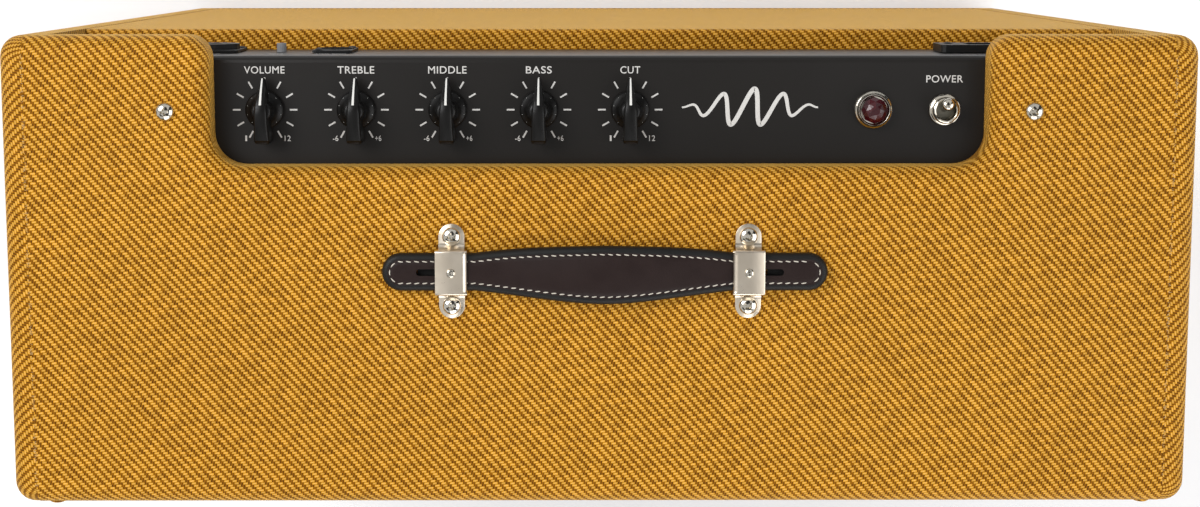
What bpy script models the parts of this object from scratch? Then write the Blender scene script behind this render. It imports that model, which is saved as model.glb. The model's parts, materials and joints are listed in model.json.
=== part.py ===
"""A top-loading combo guitar amplifier: tweed-covered cabinet, recessed control panel, strap handle and one
12-inch loudspeaker. Units are metres, +X is the player's right, +Y the rear and +Z up. The origin is on the
floor, below the middle of the cabinet."""

import math

import bmesh
import bpy
from mathutils import Matrix, Vector

GAP = 0.0003

# Cabinet
WIDTH = 0.520
REAR_Y = 0.1235
FRONT_BOTTOM_Y = -0.1244
FRONT_TOP_Y = -0.0825
FOOT_HEIGHT = 0.010
TOP_Z = 0.475
BOARD = 0.019
EDGE_RADIUS = 0.009
CORNER_RADIUS = 0.010
INNER_X = WIDTH / 2 - BOARD
TOP_UNDER_Z = TOP_Z - BOARD
FLOOR_TOP_Z = FOOT_HEIGHT + BOARD

# Notch in the top board over the control panel
NOTCH_HALF = 0.1695
NOTCH_FRONT_Y = 0.0665
NOTCH_INNER_RADIUS = 0.014
NOTCH_OUTER_RADIUS = 0.010
NOTCH_ROUND = 0.008

# Back panel
BACK_TOP_Z = 0.389
BACK_REAR_Y = 0.1215
BACK_FRONT_Y = 0.1120
CLEAT = 0.016

# Chassis
PANEL_Z = 0.4555
CHASSIS_REAR_Y = 0.1140
CHASSIS_FRONT_Y = 0.0040
CHASSIS_LOW_Z = 0.3925
CHASSIS_HALF = 0.2390
SHEET = 0.0015
COVER_Z = 0.3905
POWER_BOARD_Z = 0.3982
BOARD_SHEET = 0.0016
BEND_RADIUS = 0.003
CHASSIS_SCREW_X = 0.1878
CHASSIS_SCREW_Y = 0.0909

# Controls, all on one line
ROW_Y = 0.0903
KNOB_PITCH = 0.0402
FIRST_KNOB_X = -0.1474
CONTROLS = ("volume", "treble", "middle", "bass", "cut")
LAMP_X = 0.1205
TOGGLE_X = 0.1518
TOGGLE_PIVOT_Z = PANEL_Z - 0.002
TOGGLE_TILT = math.radians(13)

# Rear connectors
REAR_ROW_Z = 0.4185
INPUT_X = -0.1750
BUTTON_X = -0.1448
LINE_OUT_X = -0.1202
INLET_X = 0.1790
FLANGE = 0.0011
INLET_FLANGE = 0.0034
LEAD_HOLE = (0.060, 0.045)

# Handle
BRACKET_X = 0.0646
BRACKET_Y = 0.0215
BRACKET_SCREW_Y = 0.0152
BRACKET_SHEET = 0.0016
BRACKET_HALF_WIDTH = 0.00565
BRACKET_HALF_LENGTH = 0.0208
TUNNEL_LENGTH = 0.0174
TUNNEL_HEIGHT = 0.0050
STRAP_SHIFT_X = 0.0021
STRAP_LENGTH = 0.1937
STRAP_LOW = 0.0022
STRAP_THICK = 0.0040

# Loudspeaker and front
BAFFLE_FRONT = 0.0180
BAFFLE_THICK = 0.012
BAFFLE_LOW = 0.0225
BAFFLE_TOP = 0.4485
CLOTH_FRONT = 0.0090
CLOTH_LOW = 0.0215
SPEAKER_UP = 0.212
SPEAKER_RIM = 0.1545
SPEAKER_HOLE = 0.1400
SLOPE = math.atan2(FRONT_TOP_Y - FRONT_BOTTOM_Y, TOP_Z - FOOT_HEIGHT)


def mm(*points):
    """Points given in millimetres, as a list in metres."""
    return [tuple(value / 1000 for value in point) for point in points]


def knob_x(index):
    return FIRST_KNOB_X + index * KNOB_PITCH


def front_y(z):
    """The y of the sloping front plane at height z."""
    return FRONT_BOTTOM_Y + (z - FOOT_HEIGHT) * math.tan(SLOPE)


# Materials

MATERIALS = {
    "tweed": ((0.72, 0.37, 0.05, 1), 0.75, 0.0),
    "bare_wood": ((0.55, 0.36, 0.18, 1), 0.70, 0.0),
    "grille_cloth": ((0.10, 0.03, 0.02, 1), 0.85, 0.0),
    "black_enamel": ((0.012, 0.012, 0.013, 1), 0.35, 0.0),
    "nickel": ((0.75, 0.72, 0.66, 1), 0.22, 1.0),
    "leather": ((0.045, 0.022, 0.012, 1), 0.50, 0.0),
    "knob_black": ((0.010, 0.010, 0.010, 1), 0.30, 0.0),
    "ruby": ((0.60, 0.01, 0.01, 1), 0.08, 0.0),
    "rubber": ((0.02, 0.02, 0.02, 1), 0.80, 0.0),
    "zinc_steel": ((0.60, 0.60, 0.60, 1), 0.35, 1.0),
    "black_plastic": ((0.02, 0.02, 0.02, 1), 0.45, 0.0),
    "grey_plastic": ((0.35, 0.35, 0.34, 1), 0.45, 0.0),
    "brass": ((0.78, 0.58, 0.25, 1), 0.30, 1.0),
    "circuit_board": ((0.03, 0.16, 0.06, 1), 0.40, 0.0),
    "aluminium": ((0.70, 0.71, 0.72, 1), 0.35, 1.0),
    "paper_cone": ((0.06, 0.055, 0.05, 1), 0.90, 0.0),
    "ferrite": ((0.08, 0.08, 0.085, 1), 0.60, 0.0),
}


def material(name):
    found = bpy.data.materials.get(name)
    if found:
        return found
    colour, roughness, metallic = MATERIALS[name]
    made = bpy.data.materials.new(name)
    made.use_nodes = True
    shader = made.node_tree.nodes["Principled BSDF"]
    shader.inputs["Base Color"].default_value = colour
    shader.inputs["Roughness"].default_value = roughness
    shader.inputs["Metallic"].default_value = metallic
    made.diffuse_color = colour
    return made


# Shape helpers


def add_object(name, bm, finish, parent=None, place=(0, 0, 0), turn=(0, 0, 0)):
    """Makes the bmesh an object, shades its shallow angles smooth and places it."""
    bmesh.ops.remove_doubles(bm, verts=bm.verts, dist=1e-6)
    bmesh.ops.recalc_face_normals(bm, faces=bm.faces)
    mesh = bpy.data.meshes.new(name)
    bm.to_mesh(mesh)
    bm.free()
    mesh.materials.append(material(finish))
    mesh.shade_smooth()
    mesh.set_sharp_from_angle(angle=math.radians(35))
    return add_copy(name, mesh, parent, place, turn)


def add_copy(name, mesh, parent=None, place=(0, 0, 0), turn=(0, 0, 0)):
    made = bpy.data.objects.new(name, mesh)
    bpy.context.scene.collection.objects.link(made)
    made.parent = parent
    made.location = place
    made.rotation_euler = turn
    return made


def add_empty(name, place, turn=(0, 0, 0), parent=None):
    return add_copy(name, None, parent, place, turn)


def combine(target, tool, operation):
    """Applies a Boolean of the tool to the target, and removes the tool."""
    bpy.context.view_layer.update()
    modifier = target.modifiers.new(operation, "BOOLEAN")
    modifier.operation = operation
    modifier.object = tool
    graph = bpy.context.evaluated_depsgraph_get()
    result = bpy.data.meshes.new_from_object(target.evaluated_get(graph))
    target.modifiers.clear()
    target.data = result
    target.data.materials.clear()
    target.data.materials.append(material(target["finish"]))
    bpy.data.objects.remove(tool)


def finished(made, finish, cuts=(), joins=()):
    """Cuts and joins the tools, in that order, and returns the object."""
    made["finish"] = finish
    for tool in joins:
        combine(made, tool, "UNION")
    for tool in cuts:
        combine(made, tool, "DIFFERENCE")
    return made


def arc(centre_u, centre_v, radius, start, end, steps):
    """Points of an arc in degrees, both ends included."""
    angles = [math.radians(start + (end - start) * step / steps) for step in range(steps + 1)]
    return [(centre_u + radius * math.cos(angle), centre_v + radius * math.sin(angle)) for angle in angles]


def rounded(corners, steps=4):
    """An outline from (u, v, radius) corners, each with its fillet."""
    outline = []
    count = len(corners)
    for index, (u, v, radius) in enumerate(corners):
        here = Vector((u, v))
        if radius == 0:
            outline.append((u, v))
            continue
        before = (Vector(corners[index - 1][:2]) - here).normalized()
        after = (Vector(corners[(index + 1) % count][:2]) - here).normalized()
        half = before.angle(after) / 2
        middle = here + (before + after).normalized() * radius / math.sin(half)
        start = here + before * radius / math.tan(half) - middle
        end = here + after * radius / math.tan(half) - middle
        turn = math.atan2(start.cross(end), start.dot(end))
        for step in range(steps + 1):
            point = middle + Matrix.Rotation(turn * step / steps, 2) @ start
            outline.append((point.x, point.y))
    return outline


def stadium(half_u, half_v, steps=6):
    """An outline with round ends on the longer axis, u or v."""
    if half_u > half_v:
        far_end = arc(half_u - half_v, 0, half_v, -90, 90, steps)
        return far_end + arc(half_v - half_u, 0, half_v, 90, 270, steps)
    return arc(0, half_v - half_u, half_u, 0, 180, steps) + arc(0, half_u - half_v, half_u, 180, 360, steps)


def box_outline(u0, u1, v0, v1):
    return [(u0, v0), (u1, v0), (u1, v1), (u0, v1)]


AXES = {"Z": lambda u, v, w: (u, v, w), "Y": lambda u, v, w: (u, w, v), "X": lambda u, v, w: (w, u, v)}


def prism(bm, outline, low, high, along="Z"):
    """Extrudes an outline along one axis and returns its vertices; u and v are the other two axes in order."""
    place = AXES[along]
    bottom = bm.faces.new([bm.verts.new(place(u, v, low)) for u, v in outline])
    made = bmesh.ops.extrude_face_region(bm, geom=[bottom])["geom"]
    top = [vert for vert in made if isinstance(vert, bmesh.types.BMVert)]
    bmesh.ops.translate(bm, verts=top, vec=Vector(place(0, 0, high - low)))
    return list(bottom.verts) + top


def round_edges(bm, radius, test, segments=3):
    """Rounds the edges whose two ends pass the test."""
    bm.normal_update()
    edges = [edge for edge in bm.edges if test(edge.verts[0].co) and test(edge.verts[1].co)]
    bmesh.ops.bevel(bm, geom=edges, offset=radius, segments=segments, profile=0.5, affect="EDGES")


def slab(name, outline, low, high, finish, along="Z", **options):
    bm = bmesh.new()
    prism(bm, outline, low, high, along)
    return add_object(name, bm, finish, **options)


def block(bm, size, centre):
    matrix = Matrix.Translation(centre) @ Matrix.Diagonal((*size, 1))
    return bmesh.ops.create_cube(bm, size=1, matrix=matrix)["verts"]


def revolve(bm, profile, segments, ring=False, centre=(0, 0, 0), turn=Matrix.Identity(4)):
    """Spins (radius, height) points about Z; a ring's profile closes on itself, any other starts and ends on Z."""
    verts = [bm.verts.new((radius, 0, height)) for radius, height in profile]
    pairs = list(zip(verts, verts[1:]))
    if ring:
        pairs.append((verts[-1], verts[0]))
    edges = [bm.edges.new(pair) for pair in pairs]
    before = set(bm.verts) - set(verts)
    bmesh.ops.spin(
        bm, geom=verts + edges, cent=(0, 0, 0), axis=(0, 0, 1), angle=math.tau, steps=segments, use_merge=True
    )
    made = [vert for vert in bm.verts if vert not in before]
    bmesh.ops.transform(bm, matrix=Matrix.Translation(centre) @ turn, verts=made)


def rod(bm, radius, low, high, segments=16, centre=(0, 0, 0), turn=Matrix.Identity(4)):
    revolve(bm, [(0, low), (radius, low), (radius, high), (0, high)], segments, centre=centre, turn=turn)


def turned(name, profile, finish, segments=24, ring=False, **options):
    bm = bmesh.new()
    revolve(bm, profile, segments, ring)
    return add_object(name, bm, finish, **options)


def rods(spots, radius, low, high, turn=Matrix.Identity(4), parent=None, segments=12):
    """A cutter of equal rods, one at each spot."""
    bm = bmesh.new()
    for spot in spots:
        rod(bm, radius, low, high, segments, spot, turn)
    return add_object("bores", bm, "bare_wood", parent=parent)


TO_REAR = Matrix.Rotation(math.radians(-90), 4, "X")


# Cabinet


def cabinet_sides():
    """The two side boards, each with the glued cleat that the back panel is screwed to."""
    profile = rounded(
        [
            (FRONT_BOTTOM_Y, FOOT_HEIGHT, CORNER_RADIUS),
            (REAR_Y, FOOT_HEIGHT, CORNER_RADIUS),
            (REAR_Y, TOP_Z, CORNER_RADIUS),
            (FRONT_TOP_Y, TOP_Z, CORNER_RADIUS),
        ]
    )
    for name, side in (("left_side_board", -1), ("right_side_board", 1)):
        outer = side * WIDTH / 2
        bm = bmesh.new()
        prism(bm, profile, side * INNER_X, outer, "X")
        round_edges(bm, EDGE_RADIUS, lambda point, edge=outer: abs(point.x - edge) < 1e-5)
        board = add_object(name, bm, "tweed")
        cleat = bmesh.new()
        length = BACK_TOP_Z - FLOOR_TOP_Z - 0.008
        middle = (side * (INNER_X - CLEAT / 2), BACK_FRONT_Y - GAP - CLEAT / 2, (BACK_TOP_Z + FLOOR_TOP_Z) / 2)
        block(cleat, (CLEAT + 0.002, CLEAT, length), middle)
        finished(board, "tweed", joins=[add_object("cleat", cleat, "bare_wood")])


def top_board():
    half = INNER_X - GAP
    outline = rounded(
        [
            (-half, FRONT_TOP_Y, 0),
            (half, FRONT_TOP_Y, 0),
            (half, REAR_Y, 0),
            (NOTCH_HALF, REAR_Y, NOTCH_OUTER_RADIUS),
            (NOTCH_HALF, NOTCH_FRONT_Y, NOTCH_INNER_RADIUS),
            (-NOTCH_HALF, NOTCH_FRONT_Y, NOTCH_INNER_RADIUS),
            (-NOTCH_HALF, REAR_Y, NOTCH_OUTER_RADIUS),
            (-half, REAR_Y, 0),
        ]
    )
    bm = bmesh.new()
    prism(bm, outline, TOP_UNDER_Z, TOP_Z)
    on_top = lambda point: abs(point.z - TOP_Z) < 1e-5
    round_edges(bm, EDGE_RADIUS, lambda point: on_top(point) and point.y < FRONT_TOP_Y + 1e-4)
    round_edges(bm, NOTCH_ROUND, lambda point: on_top(point) and point.y > NOTCH_FRONT_Y - 1e-4)
    for vert in bm.verts:
        if vert.co.y < FRONT_TOP_Y + 1e-4:
            vert.co.y = front_y(vert.co.z)
    board = add_object("top_board", bm, "tweed")
    screw_spots = [(side * CHASSIS_SCREW_X, CHASSIS_SCREW_Y, TOP_Z) for side in (-1, 1)]
    chassis_holes = rods(screw_spots, 0.0024, -0.03, 0.01)
    handle_holes = rods(bracket_screw_spots(TOP_Z), 0.0020, -0.012, 0.01)
    finished(board, "tweed", cuts=[chassis_holes, handle_holes])


def bottom_board():
    half = INNER_X - GAP
    profile = rounded(
        [
            (FRONT_BOTTOM_Y, FOOT_HEIGHT, CORNER_RADIUS),
            (REAR_Y, FOOT_HEIGHT, CORNER_RADIUS),
            (REAR_Y, FLOOR_TOP_Z, 0),
            (front_y(FLOOR_TOP_Z), FLOOR_TOP_Z, 0),
        ]
    )
    board = slab("bottom_board", profile, -half, half, "tweed", "X")
    finished(board, "tweed", cuts=[rods(foot_spots(), 0.0022, -0.001, 0.015)])


def foot_spots():
    return [(x, y, FOOT_HEIGHT) for x in (-0.215, 0.215) for y in (-0.090, 0.090)]


def rubber_feet():
    """Four feet, each with a recess for the head of its screw."""
    profile = [(0.0045, 0.0), (0.0115, 0.0), (0.0130, FOOT_HEIGHT - GAP), (0.0024, FOOT_HEIGHT - GAP)]
    profile += mm((2.4, 5), (4.5, 5))
    pattern = turned("foot", profile, "rubber", 16, ring=True)
    for name, spot in zip(("front_left", "rear_left", "front_right", "rear_right"), foot_spots()):
        add_copy(name + "_foot", pattern.data, place=(spot[0], spot[1], 0))
    bpy.data.objects.remove(pattern)


def back_panel():
    half = INNER_X - GAP
    profile = rounded(
        [
            (BACK_FRONT_Y, FLOOR_TOP_Z + GAP, 0),
            (BACK_REAR_Y, FLOOR_TOP_Z + GAP, 0),
            (BACK_REAR_Y, BACK_TOP_Z, 0.003),
            (BACK_FRONT_Y, BACK_TOP_Z, 0.002),
        ]
    )
    slab("back_panel", profile, -half, half, "tweed", "X")


# Handle


def bracket_screw_spots(z):
    return [(side * BRACKET_X, BRACKET_Y + end * BRACKET_SCREW_Y, z) for side in (-1, 1) for end in (-1, 1)]


def handle_brackets():
    """Each bracket is a flange with round ends and a raised bridge over the strap."""
    base_z = TOP_Z + GAP
    for name, side in (("handle_bracket_left", -1), ("handle_bracket_right", 1)):
        bm = bmesh.new()
        prism(bm, stadium(BRACKET_HALF_WIDTH, BRACKET_HALF_LENGTH), 0, BRACKET_SHEET)
        flange = add_object(name, bm, "nickel", place=(side * BRACKET_X, BRACKET_Y, base_z))
        bridge = bridge_shape(side, base_z)
        tunnel = bmesh.new()
        tunnel_z = base_z + BRACKET_SHEET + TUNNEL_HEIGHT / 2
        block(tunnel, (0.03, TUNNEL_LENGTH, TUNNEL_HEIGHT), (side * BRACKET_X, BRACKET_Y, tunnel_z))
        bores = rods(bracket_screw_spots(base_z), 0.0020, -0.01, 0.01)
        rivet_bore = rods([(side * BRACKET_X, BRACKET_Y, base_z)], 0.0014, -0.01, 0.02)
        tunnel = add_object("tunnel", tunnel, "nickel")
        finished(flange, "nickel", joins=[bridge], cuts=[tunnel, bores, rivet_bore])


def handle_fixings():
    """A domed screw at each end of each bracket, and the pin that holds the strap under each bridge."""
    base_z = TOP_Z + GAP
    head = mm((0, -10), (1.6, -9), (1.6, 0), (3.6, 0), (2.9, 1.3), (1.2, 1.9), (0, 1.9))
    screw = turned("bracket_screw", head, "nickel", 12)
    for index, spot in enumerate(bracket_screw_spots(base_z + BRACKET_SHEET + GAP)):
        add_copy(f"bracket_screw_{index + 1}", screw.data, place=spot)
    bpy.data.objects.remove(screw)
    stem = mm((0, 0.3), (1, 0.3), (1, 8.5), (2.1, 8.5), (1.5, 9.2), (0, 9.2))
    for name, side in (("strap_pin_left", -1), ("strap_pin_right", 1)):
        turned(name, stem, "nickel", 10, place=(side * BRACKET_X, BRACKET_Y, base_z))


def bridge_shape(side, base_z):
    bm = bmesh.new()
    outline = box_outline(-0.00675, 0.00675, -0.0098, 0.0098)
    prism(bm, rounded([(u, v, 0.0028) for u, v in outline], 3), 0.0002, 0.0082)
    round_edges(bm, 0.0022, lambda point: point.z > 0.0081, 2)
    return add_object("bridge", bm, "nickel", place=(side * BRACKET_X, BRACKET_Y, base_z))


def handle_strap():
    """A flat strap, wider at its middle, with a slot near each end for the bracket pin."""
    half_length = STRAP_LENGTH / 2
    end_half = 0.00825
    mid_half = 0.0128
    right = arc(half_length - end_half, 0, end_half, -90, 90, 8)
    left = arc(end_half - half_length, 0, end_half, 90, 270, 8)
    steps = 10
    flat = 0.052
    bulge = [
        (flat * (1 - 2 * step / steps), end_half + (mid_half - end_half) * math.sin(math.pi * step / steps) ** 0.7)
        for step in range(steps + 1)
    ]
    outline = right + bulge + left + [(-u, -v) for u, v in bulge]
    bm = bmesh.new()
    prism(bm, outline, 0, STRAP_THICK)
    strap = add_object("handle_strap", bm, "leather", place=(STRAP_SHIFT_X, BRACKET_Y, TOP_Z + STRAP_LOW))
    slots = bmesh.new()
    for side in (-1, 1):
        slot = stadium(0.0100, 0.00145)
        centre = side * (BRACKET_X + 0.0052) - STRAP_SHIFT_X
        prism(slots, [(u + centre, v) for u, v in slot], -0.01, 0.01)
    tool = add_object("slots", slots, "leather", place=strap.location)
    finished(strap, "leather", cuts=[tool])


# Chassis


def chassis():
    profile = rounded(
        [
            (CHASSIS_REAR_Y, CHASSIS_LOW_Z, 0),
            (CHASSIS_REAR_Y, PANEL_Z, BEND_RADIUS),
            (CHASSIS_FRONT_Y, PANEL_Z, BEND_RADIUS),
            (CHASSIS_FRONT_Y, CHASSIS_LOW_Z, 0),
            (CHASSIS_FRONT_Y + SHEET, CHASSIS_LOW_Z, 0),
            (CHASSIS_FRONT_Y + SHEET, PANEL_Z - SHEET, BEND_RADIUS - SHEET),
            (CHASSIS_REAR_Y - SHEET, PANEL_Z - SHEET, BEND_RADIUS - SHEET),
            (CHASSIS_REAR_Y - SHEET, CHASSIS_LOW_Z, 0),
        ]
    )
    tray = slab("chassis_tray", profile, -CHASSIS_HALF, CHASSIS_HALF, "black_enamel", "X")
    top = 0.01
    pots = rods([(knob_x(index), ROW_Y, PANEL_Z) for index in range(len(CONTROLS))], 0.0039, -top, top)
    screws = rods([(side * CHASSIS_SCREW_X, CHASSIS_SCREW_Y, PANEL_Z) for side in (-1, 1)], 0.0024, -top, top)
    toggle = rods([(TOGGLE_X, ROW_Y, PANEL_Z)], 0.0062, -top, top)
    lamp = rods([(LAMP_X, ROW_Y, PANEL_Z)], 0.0067, -top, top)
    rear = bmesh.new()
    for x, radius in ((INPUT_X, 0.0122), (BUTTON_X, 0.0027), (LINE_OUT_X, 0.0092)):
        rod(rear, radius, -top, top, 20, (x, CHASSIS_REAR_Y, REAR_ROW_Z), TO_REAR)
    block(rear, (0.0282, 0.02, 0.0212), (INLET_X, CHASSIS_REAR_Y, REAR_ROW_Z))
    rear_holes = add_object("rear_holes", rear, "black_enamel")
    finished(tray, "black_enamel", cuts=[pots, screws, toggle, lamp, rear_holes])

    bm = bmesh.new()
    side_x = CHASSIS_HALF - 0.0016
    depth = (CHASSIS_FRONT_Y + SHEET + GAP, CHASSIS_REAR_Y - SHEET - GAP)
    cover_profile = [
        (-side_x, COVER_Z),
        (side_x, COVER_Z),
        (side_x, PANEL_Z - 0.003),
        (side_x - SHEET, PANEL_Z - 0.003),
        (side_x - SHEET, COVER_Z + SHEET),
        (SHEET - side_x, COVER_Z + SHEET),
        (SHEET - side_x, PANEL_Z - 0.003),
        (-side_x, PANEL_Z - 0.003),
    ]
    prism(bm, cover_profile, *depth, "Y")
    cover = add_object("chassis_cover", bm, "zinc_steel")
    pillars = bmesh.new()
    for x, y in ((-0.125, 0.020), (-0.125, 0.060), (-0.035, 0.060), (0.055, 0.020)):
        rod(pillars, 0.0025, COVER_Z + SHEET / 2, POWER_BOARD_Z - GAP, 8, (x, y, 0))
    pillars = add_object("pillars", pillars, "brass")
    finished(cover, "zinc_steel", joins=[pillars], cuts=[rods([(*LEAD_HOLE, COVER_Z)], 0.0035, -top, top)])

    head_z = TOP_Z + GAP
    profile = mm((0, -26), (2, -25), (2, 0), (3.8, 0), (3.4, 1.1), (2, 2), (0, 2.3))
    for name, side in (("chassis_screw_left", -1), ("chassis_screw_right", 1)):
        turned(name, profile, "nickel", 12, place=(side * CHASSIS_SCREW_X, CHASSIS_SCREW_Y, head_z))


# Controls


def knob_mesh():
    """A pointer knob: a round skirt under a bar that tapers to a point at the rear and flares at the tail."""
    sections = mm(
        (-14, 2.2, 12.5), (-12.8, 3.1, 13.5), (-6, 2.7, 15), (0, 3.4, 15.8), (6, 2.6, 14.2),
        (12.8, 1.1, 8), (14, 0.5, 6.8),
    )
    low = 0.0030
    bm = bmesh.new()
    rows = []
    for y, half, top in sections:
        corners = [(-half * 1.12, y, low), (-half, y, top), (half, y, top), (half * 1.12, y, low)]
        rows.append([bm.verts.new(corner) for corner in corners])
    for near, far in zip(rows, rows[1:]):
        for index in range(4):
            after = (index + 1) % 4
            bm.faces.new((near[index], near[after], far[after], far[index]))
    bm.faces.new(rows[0])
    bm.faces.new(rows[-1])
    bar = add_object("knob_pattern", bm, "knob_black")
    skirt = turned("skirt", mm((0, 0.8), (8.5, 0.8), (8.5, 3), (6.8, 6.2), (0, 6.2)), "knob_black", 20)
    hollow = mm((0, -1), (6.4, -1), (6.4, 3.4), (3.3, 3.4), (3.3, 6.4), (0, 6.4))
    finished(bar, "knob_black", joins=[skirt], cuts=[turned("hollow", hollow, "knob_black", 16)])
    mesh = bar.data
    bpy.data.objects.remove(bar)
    return mesh


def knobs_and_pots():
    """Each knob and its shaft turn in a potentiometer whose threaded collar carries the nut above the panel."""
    mesh = knob_mesh()
    under = -SHEET - GAP
    body = [(0.0022, under - 0.0090), (0.0080, under - 0.0090), (0.0080, under), (0.0035, under), (0.0035, GAP)]
    body += [(0.0056, GAP), (0.0056, 0.0024), (0.0035, 0.0024), (0.0035, 0.0030), (0.0022, 0.0030)]
    shaft = mm((0, -6), (1.8, -6), (1.8, 3.2), (3, 3.6), (3, 6), (0, 6))
    for index, control in enumerate(CONTROLS):
        axis = add_empty(control + "_axis", (knob_x(index), ROW_Y, PANEL_Z))
        add_copy(control + "_knob", mesh, axis)
        turned(control + "_shaft", shaft, "aluminium", 12, parent=axis)
        turned(control + "_potentiometer", body, "zinc_steel", 12, ring=True, place=axis.location)


def power_toggle():
    place = (TOGGLE_X, ROW_Y, PANEL_Z)
    housing = bmesh.new()
    block(housing, (0.0132, 0.0200, 0.0150), (0, 0, -SHEET - GAP - 0.0075))
    body = add_object("toggle_switch", housing, "nickel", place=place)
    under = -SHEET - GAP
    collar = [(0, under - 0.001), (0.0058, under - 0.001), (0.0058, GAP), (0.0070, GAP)]
    collar += mm((7, 2), (5.8, 2.4))
    collar += mm((5.8, 6), (5.2, 6.6), (0, 6.6))
    collar = turned("collar", collar, "nickel", 18, place=place)
    finished(body, "nickel", joins=[collar], cuts=[rods([place], 0.0042, -0.0110, 0.01, segments=18)])
    lever = mm((0, -6), (1.2, -5.5), (2.2, 0), (1.6, 6), (2.5, 13), (2.2, 15), (0, 15.7))
    pivot = (TOGGLE_X, ROW_Y, TOGGLE_PIVOT_Z)
    turned("toggle_lever", lever, "nickel", 16, place=pivot, turn=(-TOGGLE_TILT, 0, 0))


def pilot_lamp():
    """A stepped bezel whose stem carries the lamp holder, and a faceted jewel in its mouth."""
    place = (LAMP_X, ROW_Y, PANEL_Z)
    bezel = [(0, -0.0240), (0.0060, -0.0240), (0.0060, GAP), (0.0084, GAP), (0.0084, 0.0022), (0.0072, 0.0036)]
    bezel += mm((6.6, 5), (5.8, 5), (5.6, 2), (0, 2))
    turned("lamp_bezel", bezel, "nickel", 20, place=place)
    jewel = mm((0, 2.4), (5.1, 2.4), (5.1, 5.8), (3.4, 8.6), (0, 9.5))
    turned("lamp_jewel", jewel, "ruby", 10, place=place)


# Rear connectors, each made with its local Z pointing to the rear


def rear_place(x):
    return (x, CHASSIS_REAR_Y + GAP, REAR_ROW_Z)


def flange_outline(half_x, half_z):
    return rounded([(u, v, 0.0020) for u, v in box_outline(-half_x, half_x, -half_z, half_z)], 2)


def on_rear(name, x, build, finish="black_plastic"):
    """An object on the chassis rear, from a function that fills a bmesh in the connector's own axes."""
    bm = bmesh.new()
    build(bm)
    return add_object(name, bm, finish, place=rear_place(x), turn=(math.radians(-90), 0, 0))


def round_sockets():
    socket = on_rear("input_jack", INPUT_X, lambda bm: prism(bm, flange_outline(0.0125, 0.0155), 0, FLANGE))
    barrel = on_rear("barrel", INPUT_X, lambda bm: rod(bm, 0.0112, -0.0230, 0.0036, 18))

    def socket_holes(bm):
        rod(bm, 0.0034, -0.0200, 0.010, 10)
        for angle in (90, 210, 330):
            turn = math.radians(angle)
            rod(bm, 0.0013, -0.0100, 0.010, 6, (0.0074 * math.cos(turn), 0.0074 * math.sin(turn), 0))

    holes = on_rear("holes", INPUT_X, socket_holes)
    finished(socket, "black_plastic", joins=[barrel], cuts=[holes])

    plate = flange_outline(0.0090, 0.0155)
    outlet = on_rear("line_out_jack", LINE_OUT_X, lambda bm: prism(bm, plate, 0, FLANGE))
    barrel = on_rear("barrel", LINE_OUT_X, lambda bm: rod(bm, 0.0084, -0.0160, 0.0016, 18))
    cup = on_rear("cup", LINE_OUT_X, lambda bm: rod(bm, 0.0074, -0.0115, 0.010, 18))

    def pins(bm):
        for angle in (30, 150, 270):
            turn = math.radians(angle)
            rod(bm, 0.0012, -0.0120, 0.0010, 6, (0.0042 * math.cos(turn), 0.0042 * math.sin(turn), 0))

    finished(outlet, "black_plastic", joins=[barrel], cuts=[cup])
    finished(outlet, "black_plastic", joins=[on_rear("pins", LINE_OUT_X, pins)])


def push_switch():
    on_rear("ground_lift_button", BUTTON_X, lambda bm: rod(bm, 0.00215, -0.0040, 0.0037, 14), "grey_plastic")
    body = on_rear("ground_lift_switch", BUTTON_X, lambda bm: block(bm, (0.008, 0.008, 0.010), (0, 0, -0.0072)))
    well = on_rear("well", BUTTON_X, lambda bm: rod(bm, 0.0026, -0.0090, 0.010, 14))
    finished(body, "black_plastic", cuts=[well])


def power_inlet():
    inlet = on_rear("power_inlet", INLET_X, lambda bm: prism(bm, flange_outline(0.0250, 0.0135), 0, INLET_FLANGE))
    body = on_rear("body", INLET_X, lambda bm: block(bm, (0.0274, 0.0204, 0.0220), (0, 0, -0.0100)))
    recess = on_rear("recess", INLET_X, lambda bm: block(bm, (0.0244, 0.0166, 0.0300), (0, 0, 0.0010)))
    finished(inlet, "black_plastic", joins=[body], cuts=[recess])

    def blades(bm):
        for x, z in ((-0.0070, 0.0020), (0.0, -0.0020), (0.0070, 0.0020)):
            block(bm, (0.0020, 0.0040, 0.0130), (x, z, -0.0082))

    finished(inlet, "black_plastic", joins=[on_rear("blades", INLET_X, blades)])


# Electronics


def board_object(name, size_x, size_y, centre):
    bm = bmesh.new()
    block(bm, (size_x, size_y, BOARD_SHEET), centre)
    return add_object(name, bm, "circuit_board")


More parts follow.
